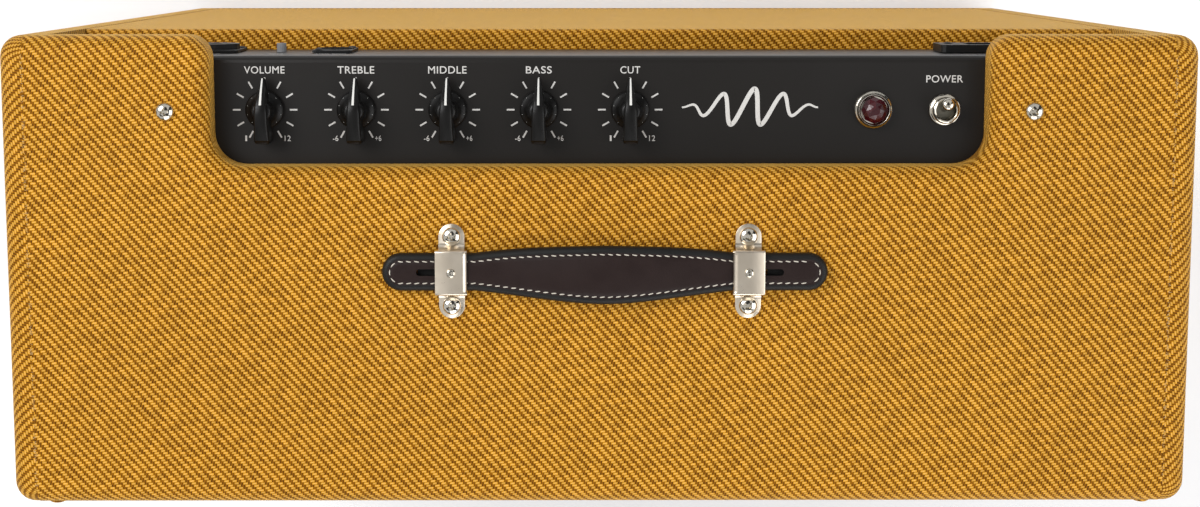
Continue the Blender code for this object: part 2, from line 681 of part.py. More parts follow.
def electronics():
    board_object("preamp_board", 0.200, 0.030, (-0.067, 0.093, 0.4382))
    power = board_object("power_board", 0.200, 0.058, (-0.035, 0.040, POWER_BOARD_Z + BOARD_SHEET / 2))
    top_z = POWER_BOARD_Z + BOARD_SHEET
    cans = bmesh.new()
    for x in (0.012, 0.040):
        rod(cans, 0.0110, POWER_BOARD_Z + 0.0008, top_z + 0.035, 14, (x, 0.026, 0))
    finished(power, "circuit_board", joins=[add_object("cans", cans, "black_plastic")])

    fins = 7
    pitch = 0.006
    comb = [(0, 0), (pitch * fins - 0.004, 0)]
    for fin in reversed(range(fins)):
        left = pitch * fin
        comb += [(left + 0.002, 0.034), (left, 0.034)]
        if fin:
            comb += [(left, 0.004), (left - 0.004, 0.004)]
    slab("heat_sink", [(0.020 + v, top_z + GAP + w) for v, w in comb], -0.115, -0.010, "aluminium", "X")

    middle = (0.140, 0.042, 0.4180)
    core = bmesh.new()
    block(core, (0.060, 0.024, 0.048), middle)
    coil = bmesh.new()
    block(coil, (0.040, 0.050, 0.032), middle)
    transformer = add_object("power_transformer", core, "zinc_steel")
    finished(transformer, "zinc_steel", joins=[add_object("coil", coil, "brass")])


# Front and loudspeaker


def front_panel(front):
    half = INNER_X - GAP
    baffle = slab(
        "baffle_board",
        box_outline(-half, half, BAFFLE_FRONT, BAFFLE_FRONT + BAFFLE_THICK),
        BAFFLE_LOW,
        BAFFLE_TOP,
        "bare_wood",
        parent=front,
    )
    axis = speaker_axis(front, "mouth_axis")
    mouth = rods([(0, 0, 0)], SPEAKER_HOLE, -0.030, 0.010, parent=axis, segments=32)
    finished(baffle, "bare_wood", cuts=[mouth])
    edge = half - 0.0010
    cloth_outline = box_outline(-edge, edge, CLOTH_FRONT, BAFFLE_FRONT - GAP)
    slab("grille_cloth", cloth_outline, CLOTH_LOW, BAFFLE_TOP, "grille_cloth", parent=front)


def speaker_axis(front, name):
    """An empty on the speaker's axis at the back of the baffle, with its local Z pointing into the cabinet."""
    place = (0, BAFFLE_FRONT + BAFFLE_THICK + GAP, SPEAKER_UP)
    return add_empty(name, place, (math.radians(-90), 0, 0), front)


def speaker(front):
    axis = speaker_axis(front, "speaker_axis")
    sides = 24
    basket_profile = [(0.1365, 0), (SPEAKER_RIM, 0), (SPEAKER_RIM, 0.0018), (0.1385, 0.0018), (0.1360, 0.0200)]
    basket_profile += mm((64, 70), (64, 74), (30, 74), (30, 72.2), (62, 72.2))
    basket_profile += mm((62, 69), (134, 19))
    basket = turned("speaker_basket", basket_profile, "black_enamel", sides, ring=True, parent=axis)
    windows = bmesh.new()
    for step in range(6):
        spin = Matrix.Rotation(math.tau * step / 6, 4, "Z")
        verts = block(windows, (0.050, 0.046, 0.070), (0.098, 0, 0.048))
        bmesh.ops.transform(windows, matrix=spin, verts=verts)
    cutter = add_object("windows", windows, "black_enamel", parent=axis)
    finished(basket, "black_enamel", cuts=[cutter])

    surround = mm((118.8, 6), (127, 3), (135, 6), (135, 6.8), (127, 4), (118.8, 7))
    turned("speaker_surround", surround, "paper_cone", sides, ring=True, parent=axis)
    cone = mm(
        (0, 40), (20, 42.5), (34, 50), (76, 29), (118, 6), (118, 7), (76, 30.2), (34.5, 51.2),
        (24, 57.2), (22.8, 56.6), (33, 50.9), (19.8, 43.4),
    )
    turned("speaker_cone", cone + [(0, 0.0409)], "paper_cone", sides, parent=axis)
    coil = mm((21.5, 57.5), (22.3, 57.5), (22.3, 86), (21.5, 86))
    turned("voice_coil", coil, "brass", sides, ring=True, parent=axis)
    spider = mm((23.4, 68), (42, 67.2), (60, 69), (60, 69.8), (42, 68.2), (23.4, 69))
    turned("speaker_spider", spider, "paper_cone", sides, ring=True, parent=axis)
    magnet = mm(
        (0, 75), (20.8, 75), (20.8, 96), (24.2, 96), (24.2, 74.3), (55, 74.3), (55, 80.3),
        (70, 80.3), (70, 99), (56, 99), (56, 104.9), (0, 104.9),
    )
    turned("speaker_magnet", magnet, "ferrite", sides, parent=axis)


def speaker_lead():
    """The two-core lead from the chassis floor down to the speaker's basket."""
    hole_x, hole_y = LEAD_HOLE
    route = [(hole_x, hole_y, 0.3965), (hole_x, hole_y, 0.3840), (0.050, 0.038, 0.356), (0.022, 0.016, 0.332)]
    route += [(0.0, -0.0090, 0.3180)]
    points = smooth_route([Vector(point) for point in route], 5)
    curve = bpy.data.curves.new("speaker_lead", "CURVE")
    curve.dimensions = "3D"
    curve.bevel_depth = 0.0020
    curve.bevel_resolution = 2
    curve.use_fill_caps = True
    spline = curve.splines.new("POLY")
    spline.points.add(len(points) - 1)
    for slot, point in zip(spline.points, points):
        slot.co = (*point, 1)
    curve.materials.append(material("rubber"))
    add_copy("speaker_lead", curve)


def smooth_route(points, steps):
    """Points along a Catmull-Rom curve through the given ones."""
    ends = [2 * points[0] - points[1], *points, 2 * points[-1] - points[-2]]
    smooth = [points[0]]
    for a, b, c, d in zip(ends, ends[1:], ends[2:], ends[3:]):
        for step in range(1, steps + 1):
            t = step / steps
            smooth.append(
                0.5 * (2 * b + (c - a) * t + (2 * a - 5 * b + 4 * c - d) * t**2 + (3 * b - a - 3 * c + d) * t**3)
            )
    return smooth


def main():
    for old in list(bpy.data.objects):
        bpy.data.objects.remove(old)
    cabinet_sides()
    top_board()
    bottom_board()
    rubber_feet()
    back_panel()
    handle_brackets()
    handle_fixings()
    handle_strap()
    chassis()
    knobs_and_pots()
    power_toggle()
    pilot_lamp()
    round_sockets()
    push_switch()
    power_inlet()
    electronics()
    front = add_empty("front_plane", (0, FRONT_BOTTOM_Y, FOOT_HEIGHT), (-SLOPE, 0, 0))
    front_panel(front)
    speaker(front)
    speaker_lead()


main()
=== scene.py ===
import json
import math
import random

import bmesh
import bpy
from mathutils import Matrix, Vector


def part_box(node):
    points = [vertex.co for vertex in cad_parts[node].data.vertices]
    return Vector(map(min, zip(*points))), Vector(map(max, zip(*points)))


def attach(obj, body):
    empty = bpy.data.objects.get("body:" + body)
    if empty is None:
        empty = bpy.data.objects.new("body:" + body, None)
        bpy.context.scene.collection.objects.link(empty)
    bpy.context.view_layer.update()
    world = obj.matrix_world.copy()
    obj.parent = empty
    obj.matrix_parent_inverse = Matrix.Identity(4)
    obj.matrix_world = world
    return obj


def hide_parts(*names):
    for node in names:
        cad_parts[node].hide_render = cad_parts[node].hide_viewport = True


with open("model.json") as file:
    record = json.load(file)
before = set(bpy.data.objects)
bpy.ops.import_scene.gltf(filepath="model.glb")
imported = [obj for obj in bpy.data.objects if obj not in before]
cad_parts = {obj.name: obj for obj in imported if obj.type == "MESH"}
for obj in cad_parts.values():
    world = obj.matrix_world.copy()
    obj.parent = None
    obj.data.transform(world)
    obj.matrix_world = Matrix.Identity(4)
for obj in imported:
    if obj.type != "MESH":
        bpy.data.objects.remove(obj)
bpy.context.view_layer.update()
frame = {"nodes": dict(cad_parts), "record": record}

# The looks of a tweed-covered combo amplifier. Units are metres, +Y is the rear and +Z up, as in the frame,
# and a comment says so where a table is in millimetres.

MM = 0.001

# The cabinet's outline, most of it from the frame
SIDE_LOW, SIDE_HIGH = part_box("right_side_board")
TOP_LOW, TOP_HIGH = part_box("top_board")
OUTER_X = SIDE_HIGH.x
TOP_Z = TOP_HIGH.z
TOP_UNDER_Z = TOP_LOW.z
REAR_Y = TOP_HIGH.y
BOTTOM_Z = SIDE_LOW.z
BOARD = TOP_Z - TOP_UNDER_Z
INNER_X = OUTER_X - BOARD
FRONT_BOTTOM_Y = SIDE_LOW.y
FRONT_TOP_Y = -0.0825
SLOPE = math.atan2(FRONT_TOP_Y - FRONT_BOTTOM_Y, TOP_Z - BOTTOM_Z)

# The covering: its seam, the gap beside the seam, its rolled edges and the notch for the panel
SEAM_X = OUTER_X - 11 * MM
SEAM_GAP = 0.05 * MM
COVER_HALF = SEAM_X - SEAM_GAP
# A narrow band on both sides of a rolled edge keeps its shading to itself
SKIRT = 0.8 * MM
EDGE_RADIUS = 9 * MM
CORNER_RADIUS = 10 * MM
NOTCH_HALF = 0.1695
NOTCH_FRONT_Y = 0.0665
NOTCH_INNER_RADIUS = 14 * MM
NOTCH_OUTER_RADIUS = 10 * MM
NOTCH_ROUND = 8 * MM
BACK_FACE_Y = REAR_Y - 0.2 * MM

# The control panel, from the frame
PANEL_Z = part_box("chassis_tray")[1].z
CHASSIS_REAR_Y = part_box("chassis_tray")[1].y

# Each control's printed word, its width in millimetres, and the numbers at the ends of its scale
CONTROLS = {
    "volume": ("VOLUME", 17.8, "1", "12"),
    "treble": ("TREBLE", 16.2, "-6", "+6"),
    "middle": ("MIDDLE", 16.9, "-6", "+6"),
    "bass": ("BASS", 11.4, "-6", "+6"),
    "cut": ("CUT", 8.8, "1", "12"),
}


def middle_of(node):
    low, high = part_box(node)
    return (low + high) / 2


ROW_Y = middle_of("volume_potentiometer").y
MILLIMETRES = Matrix.Diagonal((MM, MM, MM, 1))


def on_panel(node):
    """Millimetres on the panel, from the node's axis up."""
    return Matrix.Translation((middle_of(node).x, ROW_Y, PANEL_Z)) @ MILLIMETRES


# Shader building


class Nodes:
    """A node tree in the making. Values may be numbers, vectors, colours or sockets of other nodes."""

    def __init__(self, tree):
        self.nodes = tree.nodes
        self.links = tree.links

    def put(self, socket, value):
        if isinstance(value, bpy.types.NodeSocket):
            self.links.new(value, socket)
        elif value is not None:
            socket.default_value = value

    def add(self, kind, *values, **named):
        """Adds a node and fills its sockets, in order or by name."""
        node = self.nodes.new("ShaderNode" + kind)
        for socket, value in zip(node.inputs, values):
            self.put(socket, value)
        for label, value in named.items():
            self.put(node.inputs[label], value)
        return node

    def math(self, operation, a, b=None, c=None, clamp=False):
        node = self.add("Math", a, b, c)
        node.operation = operation
        node.use_clamp = clamp
        return node.outputs[0]

    def plus(self, a, b):
        return self.math("ADD", a, b)

    def minus(self, a, b, clamp=False):
        return self.math("SUBTRACT", a, b, clamp=clamp)

    def times(self, a, b):
        return self.math("MULTIPLY", a, b)

    def per(self, a, b):
        return self.math("DIVIDE", a, b)

    def place(self, scale=(1, 1, 1)):
        """The object's own coordinates in metres, stretched by scale."""
        coordinates = self.add("TexCoord").outputs["Object"]
        return self.add("Mapping", Scale=scale, Vector=coordinates).outputs[0]

    def cloth(self):
        """The cloth map in metres, as its two numbers and as a vector."""
        node = self.add("UVMap")
        node.uv_map = "cloth"
        parts = self.add("SeparateXYZ", node.outputs[0])
        return parts.outputs[0], parts.outputs[1], node.outputs[0]

    def noise(self, vector, scale, detail=3.0, rough=0.5):
        return self.add("TexNoise", Vector=vector, Scale=scale, Detail=detail, Roughness=rough).outputs[0]

    def voronoi(self, vector, scale, feature="F1", output="Distance"):
        node = self.add("TexVoronoi", Vector=vector, Scale=scale)
        node.feature = feature
        return node.outputs[output]

    def random(self, *numbers):
        """A random number from 0 to 1 for each set of whole numbers."""
        joined = self.add("CombineXYZ", *numbers).outputs[0]
        return self.add("TexWhiteNoise", Vector=joined).outputs["Value"]

    def ramp(self, value, *stops):
        """A colour or grey ramp from (position, colour) stops."""
        node = self.add("ValToRGB", value)
        elements = node.color_ramp.elements
        for index, (position, colour) in enumerate(stops):
            element = elements[index] if index < 2 else elements.new(position)
            element.position = position
            element.color = colour if isinstance(colour, tuple) else (colour, colour, colour, 1)
        return node.outputs[0]

    def span(self, value, low, high, out_low=0.0, out_high=1.0):
        """Value from low..high carried to out_low..out_high, held at the ends."""
        return self.add("MapRange", value, low, high, out_low, out_high).outputs[0]

    def mix(self, factor, a, b, blend="MIX"):
        node = self.add("Mix")
        node.data_type = "RGBA"
        node.blend_type = blend
        self.put(node.inputs["Factor"], factor)
        self.put(node.inputs[6], a)
        self.put(node.inputs[7], b)
        return node.outputs[2]

    def bump(self, height, distance, strength):
        return self.add("Bump", Height=height, Distance=distance, Strength=strength).outputs[0]


class Shader(Nodes):
    """One material. The values that don't vary are set on its surface by name."""

    def __init__(self, name, **constants):
        self.material = bpy.data.materials.new(name)
        self.material.use_nodes = True
        super().__init__(self.material.node_tree)
        self.surface = self.nodes["Principled BSDF"]
        for label, value in constants.items():
            self.surface.inputs[label.replace("_", " ")].default_value = value

    def finish(self, colour, roughness, normal=None):
        self.put(self.surface.inputs["Base Color"], colour)
        self.put(self.surface.inputs["Roughness"], roughness)
        self.put(self.surface.inputs["Normal"], normal)
        return self.material


def srgb(red, green, blue):
    """A shader colour from screen values of 0 to 255."""
    levels = [value / 255 for value in (red, green, blue)]
    linear = [level / 12.92 if level < 0.04045 else ((level + 0.055) / 1.055) ** 2.4 for level in levels]
    return (*linear, 1.0)


# Materials

# The weave: yarn pitches in metres, and the rest in yarns
WARP_PITCH = 0.95 * MM
WEFT_PITCH = 1.058 * MM
TWILL_REPEAT = 4
FLOAT_LENGTH = 2.35
FLOAT_SPREAD = 0.25
FLOAT_SLANT = 0.30
WARP_HALF_WIDTH = 0.62
WEFT_SPAN = 1.72
WARP_DRIFT = 0.75
WEFT_DRIFT = -0.55
GRILLE_PITCH = 0.8 * MM
STRIPE_REPEAT = 7.0


def tweed(name):
    """Four-end twill: each golden weft float passes over three dark warp yarns and under the fourth."""
    make = Shader(
        name, IOR=1.45, Specular_IOR_Level=0.10, Sheen_Weight=0.42, Sheen_Roughness=0.4,
        Sheen_Tint=srgb(255, 214, 120),
    )
    u, v, cloth = make.cloth()
    drift = make.minus(make.noise(cloth, 45.0, 2.0), 0.5)
    jitter = make.times(make.minus(make.noise(cloth, 420.0, 2.0), 0.5), 0.55)
    drift = make.plus(drift, jitter)
    warps = make.plus(make.per(u, WARP_PITCH), make.times(drift, WARP_DRIFT))
    wefts = make.plus(make.per(v, WEFT_PITCH), make.times(drift, WEFT_DRIFT))
    row = make.math("FLOOR", wefts)
    shifted = make.plus(warps, row)
    along = make.math("FLOORED_MODULO", shifted, TWILL_REPEAT)
    float_index = make.math("FLOOR", make.per(shifted, TWILL_REPEAT))
    lot = make.random(float_index, row, 0.0)
    length = make.span(lot, 0.0, 1.0, FLOAT_LENGTH - FLOAT_SPREAD, FLOAT_LENGTH + FLOAT_SPREAD)
    half = make.times(length, 0.5)
    reach = make.per(make.minus(along, half), half)
    across = make.times(make.minus(make.math("FRACT", wefts), 0.5), WEFT_SPAN)
    across = make.minus(across, make.times(reach, FLOAT_SLANT))
    crown_along = make.minus(1.0, make.math("POWER", make.math("ABSOLUTE", reach), 4.0), clamp=True)
    crown_across = make.minus(1.0, make.times(across, across), clamp=True)
    weft_height = make.math("SQRT", make.times(crown_along, crown_across))
    gap_middle = make.times(make.plus(length, TWILL_REPEAT), 0.5)
    warp_reach = make.per(make.minus(along, gap_middle), WARP_HALF_WIDTH)
    warp_crown = make.minus(1.0, make.times(warp_reach, warp_reach), clamp=True)
    warp_height = make.times(make.math("SQRT", warp_crown), 0.45)
    fibres = make.noise(cloth, 5200.0, 2.0, 0.6)
    # The golden yarn is lighter on its crowns and darker towards its edges and between rows: painted light and
    # shade over its own golden colour.
    tone = make.plus(weft_height, make.times(make.minus(fibres, 0.5), 0.30))
    stops = ((0.0, (118, 68, 0)), (0.42, (185, 124, 11)), (0.8, (204, 147, 35)), (1.0, (214, 163, 82)))
    golden = make.ramp(tone, *[(position, srgb(*colour)) for position, colour in stops])
    # The brown warp is likewise lighter at its crown and darker at its edges: painted shade over its own brown.
    brown = make.ramp(warp_height, (0.0, srgb(82, 45, 0)), (0.45, srgb(134, 82, 3)))
    colour = make.mix(make.span(weft_height, 0.04, 0.40), brown, golden)
    lot_tint = make.ramp(lot, (0.0, (0.80, 0.77, 0.70, 1)), (0.5, (1, 1, 1, 1)), (1.0, (1.13, 1.12, 1.22, 1)))
    colour = make.mix(0.75, colour, lot_tint, "MULTIPLY")
    age = make.ramp(make.noise(cloth, 9.0, 4.0), (0.3, (0.91, 0.89, 0.86, 1)), (0.7, (1.03, 1.03, 1.03, 1)))
    colour = make.mix(0.5, colour, age, "MULTIPLY")
    height = make.plus(make.math("MAXIMUM", weft_height, warp_height), make.times(fibres, 0.12))
    return make.finish(colour, make.span(fibres, 0.3, 0.7, 0.48, 0.66), make.bump(height, 0.26 * MM, 0.7))


def satin_black(name):
    """Baked black enamel on the folded steel tray, with a fine orange-peel."""
    make = Shader(name, IOR=1.5, Specular_IOR_Level=0.35)
    place = make.place()
    speck = make.noise(place, 1800.0)
    cloud = make.noise(place, 14.0)
    colour = make.mix(speck, srgb(18, 15, 13), srgb(28, 25, 22))
    return make.finish(colour, make.span(cloud, 0.3, 0.7, 0.34, 0.42), make.bump(speck, 0.02 * MM, 0.35))


def print_ink(name):
    make = Shader(name, IOR=1.45)
    grain = make.noise(make.place(), 2600.0)
    colour = make.mix(grain, srgb(186, 183, 178), srgb(212, 209, 204))
    return make.finish(colour, make.span(grain, 0.0, 1.0, 0.5, 0.65), make.bump(grain, 0.01 * MM, 0.4))


def metal(name, bright, dull, rough_low, rough_high, streak=(1, 1, 1)):
    """Plated or bare metal with a streaked or even grain."""
    make = Shader(name, Metallic=1.0)
    grain = make.noise(make.place(streak), 300.0, 4.0, 0.6)
    cloud = make.noise(make.place(), 60.0)
    colour = make.mix(make.span(cloud, 0.35, 0.65), srgb(*dull), srgb(*bright))
    roughness = make.span(grain, 0.3, 0.7, rough_low, rough_high)
    return make.finish(colour, roughness, make.bump(grain, 0.01 * MM, 0.3))


def plastic(name, dark, light, rough_low, rough_high, depth=0.02):
    """Moulded plastic or rubber with a fine texture of that depth in millimetres."""
    make = Shader(name, IOR=1.5, Specular_IOR_Level=0.25)
    grain = make.noise(make.place(), 1500.0)
    colour = make.mix(make.noise(make.place(), 90.0, 2.0), srgb(*dark), srgb(*light))
    roughness = make.span(grain, 0.3, 0.7, rough_low, rough_high)
    return make.finish(colour, roughness, make.bump(grain, depth * MM, 0.5))


def leather(name, dark, light, rough_low, rough_high):
    """Dyed leather: creased cells over a soft mottle."""
    make = Shader(name, IOR=1.45, Specular_IOR_Level=0.3)
    place = make.place()
    crease = make.span(make.voronoi(place, 1300.0, "DISTANCE_TO_EDGE"), 0.0, 0.12)
    mottle = make.noise(place, 120.0, 4.0)
    colour = make.mix(mottle, srgb(*dark), srgb(*light))
    colour = make.mix(make.span(crease, 0.0, 1.0, 0.35, 0.0), colour, srgb(*dark))
    height = make.plus(crease, make.times(make.noise(place, 500.0), 0.8))
    roughness = make.span(mottle, 0.3, 0.7, rough_low, rough_high)
    return make.finish(colour, roughness, make.bump(height, 0.05 * MM, 0.45))


def ruby(name):
    make = Shader(name, IOR=1.5, Transmission_Weight=0.2, Coat_Weight=0.2, Coat_Roughness=0.2)
    inside = make.voronoi(make.place(), 260.0, output="Color")
    depth = make.noise(make.place(), 150.0, 2.0)
    colour = make.mix(depth, srgb(34, 2, 8), srgb(74, 6, 18))
    colour = make.mix(0.35, colour, make.mix(inside, srgb(26, 1, 6), srgb(92, 14, 26)))
    return make.finish(colour, make.span(depth, 0.0, 1.0, 0.16, 0.26), make.bump(depth, 0.02 * MM, 0.2))


def grille(name):
    """Oxblood grille cloth: a basket weave with a fine pale stripe every few threads."""
    make = Shader(name, IOR=1.45)
    u, v, cloth = make.cloth()
    columns = make.per(u, GRILLE_PITCH)
    rows = make.per(v, GRILLE_PITCH)
    wave_u = make.math("ABSOLUTE", make.math("SINE", make.times(columns, math.pi)))
    wave_v = make.math("ABSOLUTE", make.math("SINE", make.times(rows, math.pi)))
    checker = make.plus(make.math("FLOOR", columns), make.math("FLOOR", rows))
    checker = make.math("FLOORED_MODULO", checker, 2.0)
    column_on_top = make.times(wave_u, make.plus(0.45, make.times(checker, 0.55)))
    row_on_top = make.times(wave_v, make.plus(0.45, make.times(make.minus(1.0, checker), 0.55)))
    height = make.math("MAXIMUM", column_on_top, row_on_top)
    stripe = make.math("FLOORED_MODULO", make.math("FLOOR", columns), STRIPE_REPEAT)
    is_stripe = make.math("COMPARE", stripe, 3.0, 0.1)
    lit = make.span(height, 0.4, 1.0)
    base = make.mix(lit, srgb(30, 12, 10), srgb(104, 44, 34))
    pale = make.mix(lit, srgb(96, 70, 34), srgb(196, 160, 96))
    colour = make.mix(make.times(is_stripe, 0.85), base, pale)
    cloud = make.ramp(make.noise(cloth, 25.0), (0.3, 0.86), (0.7, 1.0))
    colour = make.mix(0.7, colour, cloud, "MULTIPLY")
    return make.finish(colour, make.span(height, 0.0, 1.0, 0.9, 0.7), make.bump(height, 0.25 * MM, 0.8))


def wood(name):
    make = Shader(name, IOR=1.45)
    grain = make.noise(make.place((6, 60, 60)), 12.0, 5.0, 0.6)
    rings = make.noise(make.place((1, 14, 14)), 10.0)
    colour = make.mix(grain, srgb(172, 128, 80), srgb(214, 176, 124))
    colour = make.mix(make.span(rings, 0.4, 0.6, 0.0, 0.5), colour, srgb(150, 104, 60))
    return make.finish(colour, make.span(grain, 0.0, 1.0, 0.6, 0.8), make.bump(grain, 0.1 * MM, 0.4))


MATERIALS = {}


def material(name):
    """Each material is made once, when it is first asked for."""
    if name not in MATERIALS:
        maker, *values = MAKERS[name]
        MATERIALS[name] = maker(name, *values)
    return MATERIALS[name]


# Each finish's maker, and for most its two colours, its lowest and highest roughness, and its streak or depth
MAKERS = {
    "tweed": (tweed,),
    "satin_black": (satin_black,),
    "print_ink": (print_ink,),
    "satin_nickel": (metal, (236, 224, 206), (220, 207, 188), 0.27, 0.35),
    "bright_nickel": (metal, (226, 220, 208), (206, 198, 182), 0.07, 0.14),
    # The darker nickel is painted shade for the toggle nut's bore.
    "bore_shade_nickel": (metal, (150, 146, 132), (104, 100, 90), 0.30, 0.45),
    "zinc": (metal, (196, 198, 202), (166, 168, 172), 0.30, 0.45, (1, 12, 1)),
    "aluminium": (metal, (206, 208, 210), (180, 182, 184), 0.28, 0.40, (14, 1, 1)),
    "copper": (metal, (200, 122, 84), (168, 92, 58), 0.30, 0.45, (1, 1, 60)),
    "black_plastic": (plastic, (16, 16, 16), (24, 24, 24), 0.40, 0.55),
    "knob_black": (plastic, (10, 9, 8), (15, 14, 13), 0.30, 0.42),
    "pointer_white": (plastic, (206, 204, 198), (232, 230, 224), 0.45, 0.6),
    "grey_plastic": (plastic, (118, 118, 120), (146, 146, 148), 0.40, 0.55),
    "rubber": (plastic, (26, 26, 26), (42, 42, 42), 0.70, 0.85, 0.06),
    "circuit_green": (plastic, (14, 74, 40), (30, 104, 58), 0.35, 0.5),
    "paper": (plastic, (48, 44, 42), (70, 64, 60), 0.80, 0.95, 0.15),
    "ferrite": (plastic, (54, 54, 58), (80, 80, 84), 0.55, 0.75, 0.08),
    "strap_brown": (leather, (26, 12, 10), (36, 20, 16), 0.42, 0.54),
    "strap_rim": (leather, (18, 17, 16), (28, 27, 26), 0.40, 0.50),
    "thread": (plastic, (178, 170, 156), (214, 206, 192), 0.65, 0.8, 0.08),
    "fray": (plastic, (186, 148, 88), (220, 188, 134), 0.7, 0.85, 0.08),
    "ruby_glass": (ruby,),
    "grille_weave": (grille,),
    "bare_ply": (wood,),
}

SLOT_MATERIALS = {
    "tweed_board": "tweed",
    "bare_wood": "bare_ply",
    "grille_cloth": "grille_weave",
    "rubber": "rubber",
    "nickel": "satin_nickel",
    "leather": "strap_brown",
    "black_enamel": "satin_black",
    "zinc_steel": "zinc",
    "knob_plastic": "knob_black",
    "aluminium": "aluminium",
    "ruby_jewel": "ruby_glass",
    "black_plastic": "black_plastic",
    "grey_plastic": "grey_plastic",
    "circuit_board": "circuit_green",
    "paper_cone": "paper",
    "magnet": "ferrite",
    "copper_coil": "copper",
}


def finish_frame_nodes():
    """Every node that stays visible takes the procedural material of its own slot."""
    slots = {row["node"]: row["material_slot"] for row in frame["record"]["subparts"]}
    for name, node in frame["nodes"].items():
        node.data.materials.clear()
        node.data.materials.append(material(SLOT_MATERIALS[slots[name]]))


# Mesh building


def mesh_from(bm, name):
    """Turns the bmesh into a mesh and frees it."""
    mesh = bpy.data.meshes.new(name)
    bm.to_mesh(mesh)
    bm.free()
    return mesh


def in_scene(name, data):
    thing = bpy.data.objects.new(name, data)
    bpy.context.scene.collection.objects.link(thing)
    return thing


def evaluated(thing):
    bpy.context.view_layer.update()
    return thing.evaluated_get(bpy.context.evaluated_depsgraph_get())


def add_piece(name, bm, finishes, body="cabinet", replaces=None, sharp=40, weighted=False):
    """Makes the bmesh a piece that rides on its body. The faces' indices choose among the finishes."""
    bmesh.ops.remove_doubles(bm, verts=bm.verts, dist=1e-6)
    bmesh.ops.recalc_face_normals(bm, faces=bm.faces)
    mesh = mesh_from(bm, name)
    for finish in [finishes] if isinstance(finishes, str) else finishes:
        mesh.materials.append(material(finish))
    mesh.shade_smooth()
    mesh.set_sharp_from_angle(angle=math.radians(sharp))
    piece = in_scene(name, mesh)
    if weighted:
        piece.modifiers.new("weighted_normals", "WEIGHTED_NORMAL").keep_sharp = True
    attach(piece, body)
    if replaces:
        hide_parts(replaces)
    return piece


def bridge(bm, rings, index=0):
    """Joins closed rings of vertices in turn and caps both ends. A ring of one vertex is a tip."""
    faces = [bm.faces.new(ring) for ring in (rings[0], rings[-1]) if len(ring) > 1]
    for near, far in zip(rings, rings[1:]):
        count = max(len(near), len(far))
        for step in range(count):
            after = (step + 1) % count
            corners = [near[step % len(near)], near[after % len(near)]]
            corners += [far[after % len(far)], far[step % len(far)]]
            faces.append(bm.faces.new(list(dict.fromkeys(corners))))
    for face in faces:
        face.material_index = index
    return faces


def rounded(corners, steps=10):
    """An outline as (point, outward normal) pairs, from anticlockwise (u, v, radius) corners.
    A sharp corner has radius 0 and its normal after it."""
    outline = []
    count = len(corners)
    for index, (u, v, radius, *normal) in enumerate(corners):
        here = Vector((u, v))
        if radius == 0:
            outline.append((here, Vector(normal[0]) if normal else Vector((0, 0))))
            continue
        before = (Vector(corners[index - 1][:2]) - here).normalized()
        after = (Vector(corners[(index + 1) % count][:2]) - here).normalized()
        half = before.angle(after) / 2
        middle = here + (before + after).normalized() * radius / math.sin(half)
        start = here + before * radius / math.tan(half) - middle
        end = here + after * radius / math.tan(half) - middle
        turn = math.atan2(start.cross(end), start.dot(end))
        outward = 1 if turn > 0 else -1
        for step in range(steps + 1):
            spoke = Matrix.Rotation(turn * step / steps, 2) @ start
            outline.append((middle + spoke, spoke.normalized() * outward))
    return outline


def cloth_layer(bm):
    """The layer that holds the cloth map, made before the faces that need it."""
    return bm.loops.layers.uv.get("cloth") or bm.loops.layers.uv.new("cloth")


def map_cloth(faces, layer, spot_of):
    """Gives each face's corners the place on the cloth that spot_of finds for their vertex."""
    for face in faces:
        for loop in face.loops:
            loop[layer].uv = spot_of(loop.vert)


def wrapped_board(bm, outline, low, high, radius, place, lean=0.0, steps=8):
    """A board in its cloth: walls from low to a rolled edge, and a flat face at high. The cloth map is the
    face's own (u, v) in metres, carried on round the edge. Lean slopes the walls that face -v."""
    layer = cloth_layer(bm)
    levels = [(low, 0.0, radius * math.pi / 2 + high - radius - low)]
    levels.append((high - radius - SKIRT, 0.0, radius * math.pi / 2 + SKIRT))
    for step in range(steps + 1):
        angle = math.pi / 2 * step / steps
        inset = radius * (1 - math.cos(angle))
        levels.append((high - radius + radius * math.sin(angle), inset, radius * (math.pi / 2 - angle)))
    levels.append((high, radius + SKIRT, -SKIRT))
    rings = []
    maps = {}
    for level, inset, reach in levels:
        ring = []
        for point, normal in outline:
            at = point - normal * inset
            if normal.y < -0.99:
                at = at - Vector((0, (high - level) * lean))
            vert = bm.verts.new(place(at.x, at.y, level))
            maps[vert] = point - normal * (radius - reach)
            ring.append(vert)
        rings.append(ring)
    faces = bridge(bm, rings)
    map_cloth(faces, layer, maps.get)
    bm.normal_update()
    bmesh.ops.triangulate(bm, faces=faces[:2])


def wrapped_bar(bm, profile, low_x, high_x, start, direction=1):
    """A bar along X whose cloth runs round its (y, z) profile, starting at the map value start."""
    layer = cloth_layer(bm)
    ends = [[bm.verts.new((x, point.x, point.y)) for point, _ in profile] for x in (low_x, high_x)]
    reach = start
    for index in range(len(profile)):
        after = (index + 1) % len(profile)
        step = direction * (profile[after][0] - profile[index][0]).length
        face = bm.faces.new((ends[0][index], ends[1][index], ends[1][after], ends[0][after]))
        corners = ((low_x, reach), (high_x, reach), (high_x, reach + step), (low_x, reach + step))
        for loop, corner in zip(face.loops, corners):
            loop[layer].uv = corner
        reach += step
    map_cloth([bm.faces.new(end) for end in ends], layer, lambda vert: (vert.co.y, vert.co.z))


def circle(bm, count, radius, height, place, shift=0):
    """A ring of vertices about Z, turned by shift as a share of one side."""
    angles = [math.tau * (step + shift) / count for step in range(count)]
    spots = [Vector((radius * math.cos(a), radius * math.sin(a), height)) for a in angles]
    return [bm.verts.new(place @ spot) for spot in spots]


def revolve(bm, profile, segments, place=Matrix.Identity(4), index=0):
    """Turns a (radius, height) profile about Z; it may start or end on the axis, and open ends are capped."""
    bridge(bm, [circle(bm, segments if r > 0 else 1, r, height, place) for r, height in profile], index)


